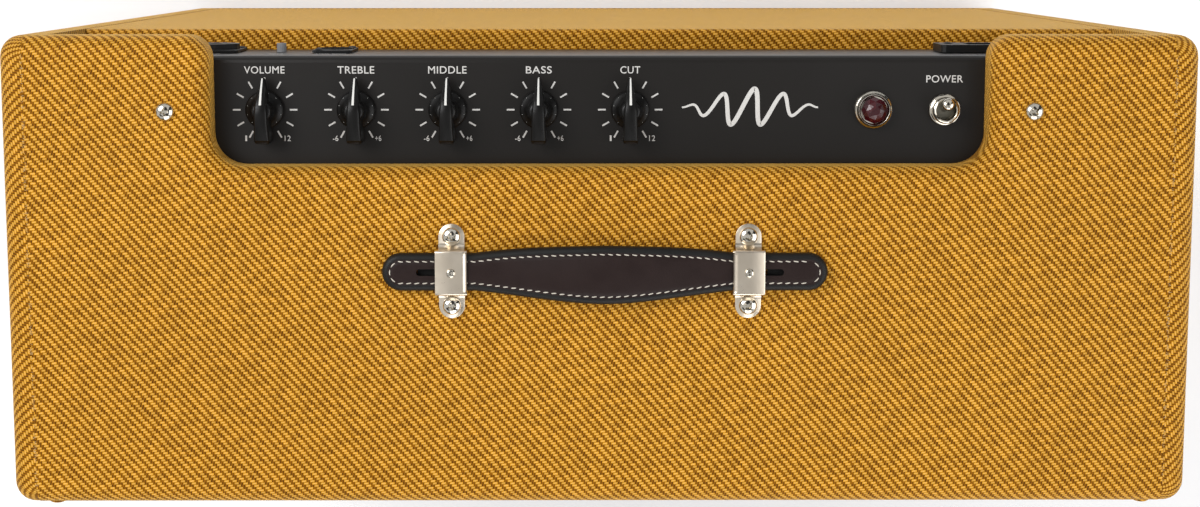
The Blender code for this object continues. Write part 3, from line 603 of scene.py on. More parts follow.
def prism(bm, outline, low, high, place, index=0):
    """Extrudes a plain (u, v) outline from low to high."""
    bridge(bm, [[bm.verts.new(place(u, v, w)) for u, v in outline] for w in (low, high)], index)


def upright(u, v, w):
    return (u, v, w)


def box_corners(half_u, half_v, radius):
    """The corners of a box about the origin, for rounded()."""
    return [(half_u * i, half_v * j, radius) for i, j in ((-1, -1), (1, -1), (1, 1), (-1, 1))]


def plain(outline):
    """The points of a rounded outline without their normals."""
    return [tuple(point) for point, _ in outline]


def carve(target, tool):
    """Cuts the tool bmesh out of the target bmesh and returns the result."""
    bodies = []
    for bm in (target, tool):
        bmesh.ops.remove_doubles(bm, verts=bm.verts, dist=1e-7)
        bmesh.ops.recalc_face_normals(bm, faces=bm.faces)
        bodies.append(in_scene("body", mesh_from(bm, "body")))
    modifier = bodies[0].modifiers.new("cut", "BOOLEAN")
    modifier.operation = "DIFFERENCE"
    modifier.object = bodies[1]
    carved = bmesh.new()
    carved.from_mesh(evaluated(bodies[0]).to_mesh())
    for body in bodies:
        bpy.data.objects.remove(body)
    return carved


def append_mesh(bm, mesh, matrix):
    """Adds a copy of the mesh to the bmesh, moved by the matrix."""
    before = len(bm.verts)
    bm.from_mesh(mesh)
    bm.verts.ensure_lookup_table()
    bmesh.ops.transform(bm, matrix=matrix, verts=bm.verts[before:])


def ahead_of(points, step):
    """The direction from the point before to the point after."""
    return points[min(step + 1, len(points) - 1)] - points[max(step - 1, 0)]


def round_bar(bm, points, radii, sides=8):
    """A closed tube along the points."""
    rings = []
    angles = [math.tau * side / sides for side in range(sides)]
    for step, (point, radius) in enumerate(zip(points, radii)):
        ahead = ahead_of(points, step)
        across = Vector((-ahead.y, ahead.x, 0)).normalized()
        up = across.cross(ahead.normalized())
        up = up if up.z > 0 else -up
        rings.append([bm.verts.new(point + (across * math.cos(a) + up * math.sin(a)) * radius) for a in angles])
    bridge(bm, rings)


def front_y(z):
    """The sloping front's y at that height."""
    return FRONT_BOTTOM_Y + (z - BOTTOM_Z) * math.tan(SLOPE)


# Cabinet covering


def top_cover():
    """The top board's cloth, with the notch at its rear."""
    half = COVER_HALF
    corners = [(-half, FRONT_TOP_Y, 0, (0, -1)), (half, FRONT_TOP_Y, 0, (0, -1)), (half, REAR_Y, 0, (0, 1))]
    corners += [(NOTCH_HALF, REAR_Y, NOTCH_OUTER_RADIUS), (NOTCH_HALF, NOTCH_FRONT_Y, NOTCH_INNER_RADIUS)]
    corners += [(-NOTCH_HALF, NOTCH_FRONT_Y, NOTCH_INNER_RADIUS), (-NOTCH_HALF, REAR_Y, NOTCH_OUTER_RADIUS)]
    corners.append((-half, REAR_Y, 0, (0, 1)))
    bm = bmesh.new()
    wrapped_board(bm, rounded(corners), TOP_UNDER_Z, TOP_Z, NOTCH_ROUND, upright, math.tan(SLOPE))
    add_piece("top_cover", bm, "tweed", replaces="top_board")


def side_covers():
    """Each side board's cloth turns over its edges to a seam on the top, front, rear and bottom."""
    for side, name in ((-1, "left_side"), (1, "right_side")):
        corners = [
            (FRONT_BOTTOM_Y, BOTTOM_Z, CORNER_RADIUS),
            (REAR_Y, BOTTOM_Z, CORNER_RADIUS),
            (REAR_Y, TOP_Z, CORNER_RADIUS),
            (FRONT_TOP_Y, TOP_Z, CORNER_RADIUS),
        ]
        if side < 0:
            corners = [(-y, z, radius) for y, z, radius in reversed(corners)]
        place = lambda u, v, w, side=side: (side * w, side * u, v)
        bm = bmesh.new()
        wrapped_board(bm, rounded(corners), SEAM_X + SEAM_GAP, OUTER_X, EDGE_RADIUS, place)
        inner = [(front_y(BOTTOM_Z + BOARD), BOTTOM_Z + BOARD), (REAR_Y, BOTTOM_Z + BOARD)]
        inner += [(REAR_Y, TOP_UNDER_Z), (front_y(TOP_UNDER_Z), TOP_UNDER_Z)]
        profile = [(Vector(point), None) for point in inner]
        wrapped_bar(bm, profile, *sorted((side * INNER_X, side * (SEAM_X + 0.5 * MM))), 0.0)
        add_piece(name + "_cover", bm, "tweed", replaces=name + "_board")


def back_and_bottom_covers():
    """The back panel's and the bottom board's cloth, each wrapped round its board along X."""
    low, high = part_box("back_panel")
    corners = [(low.y, low.z, 0), (BACK_FACE_Y, low.z, 0), (BACK_FACE_Y, high.z, 3 * MM)]
    corners.append((low.y, high.z, 2 * MM))
    bm = bmesh.new()
    wrapped_bar(bm, rounded(corners, 6), low.x, high.x, 0.0, -1)
    add_piece("back_cover", bm, "tweed", replaces="back_panel", weighted=True)
    low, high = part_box("bottom_board")
    corners = [
        (FRONT_BOTTOM_Y, low.z, CORNER_RADIUS),
        (REAR_Y, low.z, CORNER_RADIUS),
        (REAR_Y, high.z, 0),
        (front_y(high.z), high.z, 0),
    ]
    bm = bmesh.new()
    wrapped_bar(bm, rounded(corners), -COVER_HALF, COVER_HALF, 0.0)
    add_piece("bottom_cover", bm, "tweed", replaces="bottom_board", weighted=True)


# Fasteners

# The cross recess in a screw head, as shares of its radius, and how much smaller it is at its bottom
CROSS_ARM = 0.56
CROSS_WAIST = 0.13
CROSS_TAPER = 0.45


def cross_head(radius, height):
    """The mesh of a domed screw head with a tapered cross recess, standing on z 0."""
    head = bmesh.new()
    dome = [(0.985, 0.16), (0.93, 0.38), (0.82, 0.60), (0.62, 0.82), (0.36, 0.96), (0, 1.0)]
    levels = [(radius * r, height * z) for r, z in [(1.0, -0.2), (1.0, 0.0)] + dome]
    revolve(head, [(0, -0.4 * MM)] + levels, 32)
    cross = bmesh.new()
    arm, waist = radius * CROSS_ARM, radius * CROSS_WAIST
    outline = []
    for step in range(4):
        turn = Matrix.Rotation(step * math.pi / 2, 2)
        for point in ((arm, -waist), (arm, waist), (waist * 1.25, waist * 1.25)):
            outline.append(tuple(turn @ Vector(point)))
    prism(cross, outline, height * 0.15, height * 1.5, upright)
    for vert in cross.verts:
        if vert.co.z < height * 0.5:
            vert.co.x *= CROSS_TAPER
            vert.co.y *= CROSS_TAPER
    return mesh_from(carve(head, cross), "cross_head")


def top_screws():
    """The bracket screws and the chassis screws, each turned its own way."""
    heads = {"bracket": (cross_head(4.0 * MM, 1.9 * MM), 1.9), "chassis": (cross_head(4.1 * MM, 2.3 * MM), 2.3)}
    turns = {f"bracket_screw_{index + 1}": turn for index, turn in enumerate((20, 8, 52, 31))}
    turns |= {"chassis_screw_left": 12, "chassis_screw_right": 40}
    for node, turn in turns.items():
        mesh, tall = heads[node[:7]]
        spot = middle_of(node)
        spot.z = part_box(node)[1].z - tall * MM
        bm = bmesh.new()
        append_mesh(bm, mesh, Matrix.Translation(spot) @ Matrix.Rotation(math.radians(turn), 4, "Z"))
        add_piece(node + "_head", bm, "bright_nickel", replaces=node, sharp=30)


# Handle

# The brackets: a flange of thin sheet, ramps up from it, and the cap over the strap
BRACKET_SHEET = 1.2 * MM
FLANGE_HALF = 5.65 * MM
CAP_HALF_WIDTH = 6.95 * MM
CAP_HALF_LENGTH = 9.8 * MM
CAP_HEIGHT = 8.2 * MM
CAP_THICK = 1.6 * MM
CAP_ROUND = 0.9 * MM
CAP_OVERHANG = 0.15 * MM
WALL_THICK = 1.1 * MM
RAMP_REACH = 2.5 * MM
RAMP_RISE = 3.2 * MM
ROLLED_EDGE = 2.0 * MM
# The rivet's radii and heights in millimetres, from the cap's face
RIVET = [(0, -6), (1.0, -6), (1.0, 0), (2.05, 0), (2.0, 0.25), (1.6, 0.62), (1.0, 0.8), (0.55, 0.72), (0, 0.6)]


def bracket_plate(bm, place, inward):
    """The cap: a flat plate with softly rounded ends, and its edge towards the strap's middle rolled down."""
    start, stop = math.radians(10), math.radians(72)
    roll = []
    for part in range(9):
        angle = start + (stop - start) * part / 8
        across = (math.sin(angle) - math.sin(start)) / (math.sin(stop) - math.sin(start))
        roll.append((across, (math.cos(start) - math.cos(angle)) / (math.cos(start) - math.cos(stop))))
    under = CAP_HEIGHT - CAP_THICK
    steps = 44
    rows = []
    for step in range(steps + 1):
        y = -CAP_HALF_LENGTH * math.cos(math.pi * step / steps)
        end = CAP_HALF_LENGTH - abs(y)
        sunk = CAP_ROUND * (1 - math.sqrt(max(0.0, 1 - max(0.0, 1 - end / CAP_ROUND) ** 2)))
        rolled = ROLLED_EDGE * min(max((end - CAP_ROUND) / (0.5 * MM), 0.15), 1)
        row = [(-CAP_HALF_WIDTH, under), (-CAP_HALF_WIDTH, CAP_HEIGHT - 0.5 * MM)]
        row += [(-CAP_HALF_WIDTH + 0.15 * MM, CAP_HEIGHT - 0.15 * MM), (-CAP_HALF_WIDTH + 0.5 * MM, CAP_HEIGHT)]
        row += [(0, CAP_HEIGHT), (CAP_HALF_WIDTH - ROLLED_EDGE - 0.3 * MM, CAP_HEIGHT)]
        for across, drop in roll:
            row.append((CAP_HALF_WIDTH - ROLLED_EDGE * (1 - across), CAP_HEIGHT - rolled * 0.75 * drop))
        row.append((CAP_HALF_WIDTH, under))
        rows.append([bm.verts.new(place(inward * u, y, w - (sunk if w > under else 0))) for u, w in row])
    bridge(bm, rows)


def handle_brackets():
    """A flange with round ends, whose middle rises over the strap and carries the wider cap and its rivet."""
    for side, name in ((-1, "left"), (1, "right")):
        node = "handle_bracket_" + name
        middle = middle_of(node)
        low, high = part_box(node)
        base = low.z
        half_length = (high.y - low.y) / 2
        place = lambda u, v, w, x=middle.x, y=middle.y: (x + u, y + v, base + w)
        along = lambda u, v, w, x=middle.x, y=middle.y: (x + w, y + u, base + v)
        bm = bmesh.new()
        outline = plain(rounded(box_corners(FLANGE_HALF, half_length, FLANGE_HALF * 0.999)))
        prism(bm, outline, 0, BRACKET_SHEET, place)
        bm.normal_update()
        top = base + 0.9 * BRACKET_SHEET
        edges = [edge for edge in bm.edges if min(vert.co.z for vert in edge.verts) > top]
        bmesh.ops.bevel(bm, geom=edges, offset=0.25 * MM, segments=2, profile=0.5, affect="EDGES")
        wall = CAP_HALF_LENGTH - CAP_OVERHANG
        foot = wall + RAMP_REACH
        bend = [(wall - WALL_THICK, 0.2 * MM), (foot, 0.2 * MM), (foot, BRACKET_SHEET)]
        for step in range(9):
            angle = math.pi / 2 * step / 8
            rise = RAMP_RISE * (1 - math.cos(angle))
            bend.append((foot - RAMP_REACH * math.sin(angle), BRACKET_SHEET + rise))
        bend += [(wall, CAP_HEIGHT - 0.8 * MM), (wall - WALL_THICK, CAP_HEIGHT - 0.8 * MM)]
        for end in (-1, 1):
            prism(bm, [(end * u, v) for u, v in bend], -FLANGE_HALF, FLANGE_HALF, along)
        bracket_plate(bm, place, -side)
        add_piece(node + "_plate", bm, "satin_nickel", replaces=node, sharp=32)
        rivet = bmesh.new()
        spot = Matrix.Translation((middle.x, middle.y, base + CAP_HEIGHT)) @ MILLIMETRES
        revolve(rivet, RIVET, 24, spot)
        pin = "strap_pin_" + name
        add_piece(pin + "_rivet", rivet, "bright_nickel", replaces=pin)


STRAP_LOW, STRAP_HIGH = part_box("handle_strap")
STRAP_MIDDLE = (STRAP_LOW + STRAP_HIGH) / 2
STRAP_HALF_LENGTH = (STRAP_HIGH.x - STRAP_LOW.x) / 2
STRAP_END_HALF = 8.25 * MM
STRAP_MIDDLE_HALF = (STRAP_HIGH.y - STRAP_LOW.y) / 2
STRAP_STRAIGHT = STRAP_HALF_LENGTH - STRAP_END_HALF
# How far from the strap's middle its padding and bow reach, and its taper
STRAP_GRIP = 0.052
STRAP_TAPER = 0.056
PADDING = 1.3 * MM
GROOVE_DEPTH = 0.35 * MM
GROOVE_WIDTH = 0.55 * MM
RIM = 2.7 * MM
STITCH_INSET = 3.5 * MM
STITCH_PITCH = 3.5 * MM
END_STITCHES = 4
STRAP_STEPS = 150
STRAP_INSETS = (0, 0.25, 0.7, 1.3, 2.0, 2.7, 3.1, 3.5, 3.9, 4.5, 5.5, 6.8)
STRAP_SWAY = 1.2 * MM
STRAP_ARCH = 2.2 * MM


def strap_half(u):
    """Half the strap's width at u along it."""
    past = abs(u) - STRAP_STRAIGHT
    if past > 0:
        return math.sqrt(max(STRAP_END_HALF**2 - past**2, (0.4 * MM) ** 2))
    swell = 1 - min(abs(u) / STRAP_TAPER, 1) ** 1.55
    return STRAP_END_HALF + (STRAP_MIDDLE_HALF - STRAP_END_HALF) * swell


def strap_top(u, inset):
    """The height of the strap's face at u, at that distance in from its edge."""
    padding = PADDING * max(0.0, math.cos(math.pi * min(abs(u) / STRAP_GRIP, 1) / 2)) ** 1.5
    depth = inset / RIM
    rise = math.sqrt(max(0.0, 1 - (1 - min(depth, 1)) ** 2))
    groove = GROOVE_DEPTH * math.exp(-(((inset - STITCH_INSET) / GROOVE_WIDTH) ** 2))
    crown = padding * min(max((inset - STITCH_INSET) / (8 * MM), 0), 1) ** 0.7
    thick = STRAP_HIGH.z - STRAP_LOW.z
    return STRAP_LOW.z + thick * (0.34 + 0.62 * rise) - groove + crown


def strap_point(u, v, z):
    """The strap bows up and a little forward between its brackets."""
    bow = max(0.0, math.cos(math.pi * u / (2 * STRAP_GRIP))) ** 2 if abs(u) < STRAP_GRIP else 0.0
    return Vector((STRAP_MIDDLE.x + u, STRAP_MIDDLE.y + v - STRAP_SWAY * bow, z + STRAP_ARCH * bow))


def strap_rows():
    """Points across the strap as (u, v, distance in from its edge), row by row along it."""
    rows = []
    for step in range(STRAP_STEPS + 1):
        u = -STRAP_HALF_LENGTH * math.cos(math.pi * step / STRAP_STEPS)
        half = strap_half(u)
        past = abs(u) - STRAP_STRAIGHT
        scale = min(1.0, half / (7.4 * MM))
        across = [half - inset * MM * scale for inset in STRAP_INSETS]
        row = []
        for v in across + [0.0] + [-value for value in reversed(across)]:
            inset = STRAP_END_HALF - math.hypot(past, v) if past > 0 else half - abs(v)
            row.append((u, v, max(inset, 0.0)))
        rows.append(row)
    return rows


def handle_strap():
    """The strap's leather: black bevelled rim, padded brown middle, and a slot near each end, with a thin black
    sheet under each slot as painted shade.
    """
    bm = bmesh.new()
    rows = strap_rows()
    top = [[bm.verts.new(strap_point(u, v, strap_top(u, inset))) for u, v, inset in row] for row in rows]
    low = [[bm.verts.new(strap_point(u, v, STRAP_LOW.z)) for u, v, _ in row] for row in rows]
    last = len(rows[0]) - 1
    for near in range(STRAP_STEPS):
        for side in range(last):
            corners = [(near, side), (near, side + 1), (near + 1, side + 1), (near + 1, side)]
            face = bm.faces.new([top[i][j] for i, j in corners])
            inset = sum(rows[i][j][2] for i, j in corners) / 4
            face.material_index = 0 if inset > RIM * 0.98 else 1
            bm.faces.new([low[i][j] for i, j in corners[:1] + corners[:0:-1]])
    sides = [[(near, side), (near + 1, side)] for near in range(STRAP_STEPS) for side in (0, last)]
    sides += [[(end, side), (end, side + 1)] for end in (0, STRAP_STEPS) for side in range(last)]
    for pair in sides:
        edge = [top[i][j] for i, j in pair] + [low[i][j] for i, j in reversed(pair)]
        bm.faces.new(edge).material_index = 1
    slots = bmesh.new()
    # A thin black sheet under each slot is painted shade: it makes the slot look dark inside.
    slot_shade_sheet = bmesh.new()
    slot_x = middle_of("handle_bracket_right").x + 5.2 * MM
    for side in (-1, 1):
        place = lambda u, v, w, side=side: (side * slot_x + u, STRAP_MIDDLE.y + v, w)
        outline = plain(rounded(box_corners(10 * MM, 1.45 * MM, 1.4 * MM), 5))
        prism(slots, outline, STRAP_LOW.z - 2 * MM, STRAP_HIGH.z + 4 * MM, place, 1)
        place = lambda u, v, w, side=side: (STRAP_MIDDLE.x + side * u, STRAP_MIDDLE.y + v, w)
        spots = [(u * MM, v * MM) for u, v in ((70.8, -3), (81.5, -3), (81.5, 3), (70.8, 3))]
        prism(slot_shade_sheet, spots, STRAP_LOW.z - 0.35 * MM, STRAP_LOW.z - 0.05 * MM, place)
    leathers = ["strap_brown", "strap_rim"]
    add_piece("strap_leather", carve(bm, slots), leathers, "handle", "handle_strap", sharp=50)
    add_piece("strap_slot_shade", slot_shade_sheet, "strap_rim", "handle")


def strap_stitches():
    """Slanted lock stitches in a groove along both edges of the strap and round its ends."""
    bm = bmesh.new()
    shares = [step / 3 - 1 for step in range(7)]
    radii = [(0.12 + 0.15 * math.sqrt(1 - share**2 * 0.9)) * MM for share in shares]
    for side in (-1, 1):
        for index in range(int(2 * STRAP_STRAIGHT / STITCH_PITCH) + 1):
            spots = []
            for share in shares:
                at = index * STITCH_PITCH - STRAP_STRAIGHT + share * 1.15 * MM
                inset = STITCH_INSET + share * 0.20 * MM
                height = strap_top(at, STITCH_INSET) + (0.22 - 0.42 * share**4) * MM
                spots.append(strap_point(at, side * (strap_half(at) - inset), height))
            round_bar(bm, spots, radii)
    radius = STRAP_END_HALF - STITCH_INSET
    for side in (-1, 1):
        for index in range(1, END_STITCHES):
            spots = []
            for step in range(5):
                angle = math.pi * (index + (step / 4 - 0.5) * 0.66) / END_STITCHES - math.pi / 2
                along = side * (STRAP_STRAIGHT + radius * math.cos(angle))
                spot = strap_point(along, radius * math.sin(angle), 0)
                spot.z = strap_top(STRAP_STRAIGHT, STITCH_INSET) + 0.18 * MM
                spots.append(spot)
            round_bar(bm, spots, [r * MM for r in (0.12, 0.24, 0.27, 0.24, 0.12)])
    add_piece("strap_stitches", bm, "thread", "handle")


# Control panel

TICK_ANGLES = range(-150, 151, 30)
TICK_INNER = 10.8 * MM
TICK_OUTER = 14.2 * MM
TICK_HALF = 0.36 * MM
# Each number's width and its distance from the axis, in millimetres
NUMBERS = {"1": (0.8, 8.6), "12": (2.7, 9.7), "-6": (2.4, 9.4), "+6": (2.7, 9.4)}
WORD_HEIGHT = 3.2 * MM
NUMBER_HEIGHT = 2.5 * MM
SOCKET_NAME_HEIGHT = 2.3 * MM
WAVE_LENGTH = 60 * MM
WAVE_SWING = 8.2 * MM
WAVE_COUNT = 4.5
PRINT_LIFT = 0.03 * MM
PRINT_THICK = 0.05 * MM


def lettering(bm, text, x, y, height, width, place=upright, surface=PANEL_Z):
    """Adds a word, centred on x and y, with that cap height and width, standing just proud of the surface."""
    curve = bpy.data.curves.new("letters", "FONT")
    curve.body = text
    curve.offset = 0.006
    curve.space_character = 1.07
    curve.resolution_u = 4
    holder = in_scene("letters", curve)
    mesh = bpy.data.meshes.new_from_object(evaluated(holder))
    bpy.data.objects.remove(holder)
    us = [vert.co.x for vert in mesh.vertices]
    vs = [vert.co.y for vert in mesh.vertices]
    tall = height / (max(vs) - min(vs))
    wide = width / (max(us) - min(us))
    letters = bmesh.new()
    letters.from_mesh(mesh)
    made = bmesh.ops.extrude_face_region(letters, geom=letters.faces[:])["geom"]
    raised = {vert for vert in made if isinstance(vert, bmesh.types.BMVert)}
    for vert in letters.verts:
        u = (vert.co.x - (max(us) + min(us)) / 2) * wide
        v = (vert.co.y - (max(vs) + min(vs)) / 2) * tall
        vert.co = place(x + u, y + v, surface + PRINT_LIFT + (PRINT_THICK if vert in raised else 0))
    letters.to_mesh(mesh)
    letters.free()
    bm.from_mesh(mesh)


def panel_print():
    """Pale silk-screened words, numbers, dial ticks and a plain wave mark."""
    bm = bmesh.new()
    tick = [(-TICK_HALF, TICK_INNER), (TICK_HALF, TICK_INNER)]
    tick += [(TICK_HALF, TICK_OUTER), (-TICK_HALF, TICK_OUTER)]
    for control, (word, width, low, high) in CONTROLS.items():
        x = middle_of(control + "_potentiometer").x
        lettering(bm, word, x, ROW_Y + 17.5 * MM, WORD_HEIGHT, width * MM)
        for side, number in ((-1, low), (1, high)):
            width, offset = NUMBERS[number]
            lettering(bm, number, x + side * offset * MM, ROW_Y - 12.6 * MM, NUMBER_HEIGHT, width * MM)
        for angle in TICK_ANGLES:
            turn = Matrix.Translation((x, ROW_Y, 0)) @ Matrix.Rotation(-math.radians(angle), 4, "Z")
            place = lambda u, v, w, turn=turn: turn @ Vector((u, v, w))
            prism(bm, tick, PANEL_Z + PRINT_LIFT, PANEL_Z + PRINT_LIFT + PRINT_THICK, place)
    toggle_x = middle_of("toggle_switch").x
    lettering(bm, "POWER", toggle_x, ROW_Y + 13.5 * MM, WORD_HEIGHT, 16.2 * MM)
    wave_mark(bm, (toggle_x + middle_of("volume_potentiometer").x) / 2 + 64 * MM, ROW_Y + 1.0 * MM)
    add_piece("panel_print", bm, "print_ink")


def wave_mark(bm, x, y):
    """A generic mark, not a maker's: a swelling sound wave, drawn as a flat stroke of varying width."""
    steps = 220
    points, widths = [], []
    for step in range(steps + 1):
        share = step / steps
        swell = math.sin(math.pi * share)
        swing = math.sin(share * math.tau * WAVE_COUNT)
        lean = 2.0 * MM * swell * swing
        points.append(Vector((x + (share - 0.5) * WAVE_LENGTH + lean, y + WAVE_SWING * swell**1.2 * swing)))
        widths.append((0.7 + 1.3 * swell) * MM)
    low, high = PANEL_Z + PRINT_LIFT, PANEL_Z + PRINT_LIFT + PRINT_THICK
    rings = []
    for step, (point, width) in enumerate(zip(points, widths)):
        ahead = ahead_of(points, step)
        across = Vector((-ahead.y, ahead.x)).normalized() * width / 2
        corners = [(point + across, low), (point - across, low), (point - across, high), (point + across, high)]
        rings.append([bm.verts.new((*at, z)) for at, z in corners])
    bridge(bm, rings)


# Radii and heights above the panel, in millimetres, for what is turned about an axis
KNOB_SKIRT = [(0, 0.8), (8.2, 0.8), (8.5, 1.1), (8.5, 2.2), (8.3, 2.6), (7.6, 3.0), (6.6, 3.7), (5.6, 4.6)]
KNOB_SKIRT += [(4.9, 6.0), (0, 6.0)]
KNOB_HUB = [(0, 4.0), (4.4, 4.0), (4.4, 11.6), (4.25, 12.3), (3.8, 12.8), (3.0, 13.0), (0, 13.0)]
KNOB_PIP = [(0, 0), (0.17, 0), (0.15, 0.14), (0, 0.2)]
LAMP_BEZEL = [(0, 0.3), (8.3, 0.3), (8.4, 0.6), (8.4, 1.5), (8.15, 2.1), (7.7, 2.4), (7.35, 2.6), (7.25, 3.2)]
LAMP_BEZEL += [(7.15, 4.0), (7.0, 4.7), (6.75, 5.0), (6.4, 4.9), (6.1, 4.4), (6.0, 2.2), (0, 2.2)]
TOGGLE_COLLAR = [(5.8, 0.3), (7.0, 0.3), (7.0, 1.8), (6.7, 2.2), (6.0, 2.4), (5.75, 2.6), (5.7, 5.6)]
TOGGLE_COLLAR += [(5.4, 6.4), (5.0, 6.6), (4.5, 6.4), (4.2, 5.8), (4.2, -2.0), (0, -2.0)]
TOGGLE_BAT = [(0, -0.4), (1.5, 0.2), (1.55, 3.0), (1.5, 6.0), (1.75, 9.0), (2.3, 11.5), (2.75, 13.2)]
TOGGLE_BAT += [(2.8, 14.2), (2.4, 15.1), (1.3, 15.65), (0, 15.75)]
# Each tier's radius, height and turn, as a share of one side
JEWEL_TIERS = [(5.7, 2.4, 0), (5.85, 5.4, 0), (5.4, 6.6, 0.5), (4.0, 8.2, 0), (2.1, 9.2, 0.5)]
JEWEL_SIDES = 8

BAR_LOW = 3.0
# Each knob section's y, half width and top height, in millimetres from the knob's axis and the panel
KNOB_SECTIONS = (
    (-14.3, 2.5, 10.6), (-13.9, 3.0, 11.9), (-13.0, 3.35, 12.3), (-12.6, 3.35, 13.3), (-9.0, 3.1, 14.3),
    (-5.0, 2.9, 15.1), (-1.0, 2.9, 15.6), (3.0, 2.5, 15.3), (6.0, 2.1, 13.6), (9.5, 1.55, 11.0),
    (12.8, 0.95, 8.2), (14.2, 0.5, 6.9),
)


def knob(control):
    """A pointer knob: domed skirt with pips, round hub, and a bar from broad tail to white-lined tip."""
    axis = on_panel(control + "_potentiometer")
    bm = bmesh.new()
    revolve(bm, KNOB_SKIRT, 48, axis)
    revolve(bm, KNOB_HUB, 36, axis)
    rings = []
    for y, half, top in KNOB_SECTIONS:
        edge = min(0.9, half * 0.45)
        side = [(half * 1.06, BAR_LOW), (half * 1.02, (BAR_LOW + top) / 2), (half, top - edge)]
        side += [(half - edge * 0.4, top - edge * 0.3), (half - edge, top)]
        ring = side + [(-u, z) for u, z in reversed(side)]
        rings.append([bm.verts.new(axis @ Vector((u, y, z))) for u, z in ring])
    bridge(bm, rings)
    line = [(y, top) for y, _, top in KNOB_SECTIONS if y > 2.5]
    ribs = []
    for index, (y, top) in enumerate(line):
        half = 0.52 - 0.06 * index
        corners = ((-half, -0.1), (-half, 0.1), (half, 0.1), (half, -0.1))
        ribs.append([bm.verts.new(axis @ Vector((u, y, top + lift))) for u, lift in corners])
    bridge(bm, ribs, 1)
    for angle in range(15, 360, 30):
        turn = math.radians(angle)
        spot = axis @ Matrix.Translation((7.5 * math.cos(turn), 7.5 * math.sin(turn), 2.9))
        revolve(bm, KNOB_PIP, 8, spot, 1)
    looks, body, node = ["knob_black", "pointer_white"], control + "_control", control + "_knob"
    add_piece(control + "_pointer", bm, looks, body, node, sharp=38)


def pilot_lamp():
    """The lamp's bezel, and its ruby jewel cut in facets."""
    spot = on_panel("lamp_bezel")
    bm = bmesh.new()
    revolve(bm, LAMP_BEZEL, 64, spot)
    add_piece("lamp_ring", bm, "bright_nickel", replaces="lamp_bezel", sharp=60)
    jewel = bmesh.new()
    rings = [circle(jewel, JEWEL_SIDES, *tier[:2], spot, tier[2]) for tier in JEWEL_TIERS]
    jewel.faces.new(rings[0])
    jewel.faces.new(rings[-1])
    shifts = [tier[2] for tier in JEWEL_TIERS]
    for near, far, turned in zip(rings, rings[1:], [b - a for a, b in zip(shifts, shifts[1:])]):
        for side in range(JEWEL_SIDES):
            after = (side + 1) % JEWEL_SIDES
            here, next_here, there, next_there = near[side], near[after], far[side], far[after]
            if turned == 0:
                facets = [(here, next_here, next_there, there)]
            elif turned > 0:
                facets = [(here, next_here, there), (next_here, next_there, there)]
            else:
                facets = [(here, next_there, there), (here, next_here, next_there)]
            for facet in facets:
                jewel.faces.new(facet)
    add_piece("lamp_facets", jewel, "ruby_glass", replaces="lamp_jewel", sharp=8)


def power_toggle():
    """The toggle's notched round nut, its bore in a darker, duller nickel as painted shade, and the bat at its
    resting tilt.
    """
    spot = on_panel("toggle_switch")
    nut = bmesh.new()
    revolve(nut, TOGGLE_COLLAR, 60, spot)
    notches = bmesh.new()
    for step in range(12):
        turn = Matrix.Rotation(math.tau * step / 12, 4, "Z")
        place = lambda u, v, w, turn=turn: spot @ (turn @ Vector((u, v, w)))
        prism(notches, [(6.75, -0.45), (7.6, -0.45), (7.6, 0.45), (6.75, 0.45)], 0.0, 3.0, place)
    nut = carve(nut, notches)
    # Faces inside the bore take the darker nickel: painted shade in the recess.
    for face in nut.faces:
        local = spot.inverted() @ face.calc_center_median()
        face.material_index = 1 if math.hypot(local.x, local.y) < 4.22 and local.z < 5.2 else 0
    looks = ["bright_nickel", "bore_shade_nickel"]
    add_piece("toggle_nut", nut, looks, replaces="toggle_switch", sharp=35)
    tilt = Matrix.Rotation(math.radians(-13), 4, "X")
    lever = bmesh.new()
    revolve(lever, TOGGLE_BAT, 32, spot @ Matrix.Translation((0, 0, -2)) @ tilt)
    add_piece("toggle_bat", lever, "bright_nickel", "power_toggle", "toggle_lever")


# Rear fittings, seams and grille

SOCKET_ROW_Z = 0.4185
LABEL_Z = 0.4395
# Each socket's flange thickness and its screws' places from its axis, in millimetres
SOCKET_SCREWS = {
    "input_jack": (1.1, (-10, 12.5), (10, -12.5)),
    "line_out_jack": (1.1, (-6.2, 12.7), (6.2, -12.7)),
    "power_inlet": (3.4, (-20, 0), (20, 0)),
}
# Each printed name's fitting and width in millimetres
SOCKET_NAMES = {
    "INPUT": ("input_jack", 10.5),
    "LIFT": ("ground_lift_button", 6.5),
    "LINE OUT": ("line_out_jack", 14),
}
YARN_RADII = (0.05 * MM, 0.08 * MM, 0.04 * MM)


def rear_fittings():
    """The sockets' black screws and small printed names."""
    chooser = random.Random(3)
    turned_rear = Matrix.Rotation(math.radians(-90), 4, "X")
    small = cross_head(2.2 * MM, 1.1 * MM)
    bm = bmesh.new()
    for node, (flange, *spots) in SOCKET_SCREWS.items():
        for u, v in spots:
            spin = Matrix.Rotation(chooser.uniform(0, 1.5), 4, "Z")
            spot = (middle_of(node).x + u * MM, CHASSIS_REAR_Y + flange * MM, SOCKET_ROW_Z + v * MM)
            append_mesh(bm, small, Matrix.Translation(spot) @ turned_rear @ spin)
    add_piece("socket_screws", bm, "black_plastic", sharp=30)
    bm = bmesh.new()
    facing_rear = lambda u, v, w: (-u, w, v)
    for word, (node, width) in SOCKET_NAMES.items():
        x = -middle_of(node).x
        lettering(bm, word, x, LABEL_Z, SOCKET_NAME_HEIGHT, width * MM, facing_rear, CHASSIS_REAR_Y)
    add_piece("socket_names", bm, "print_ink")


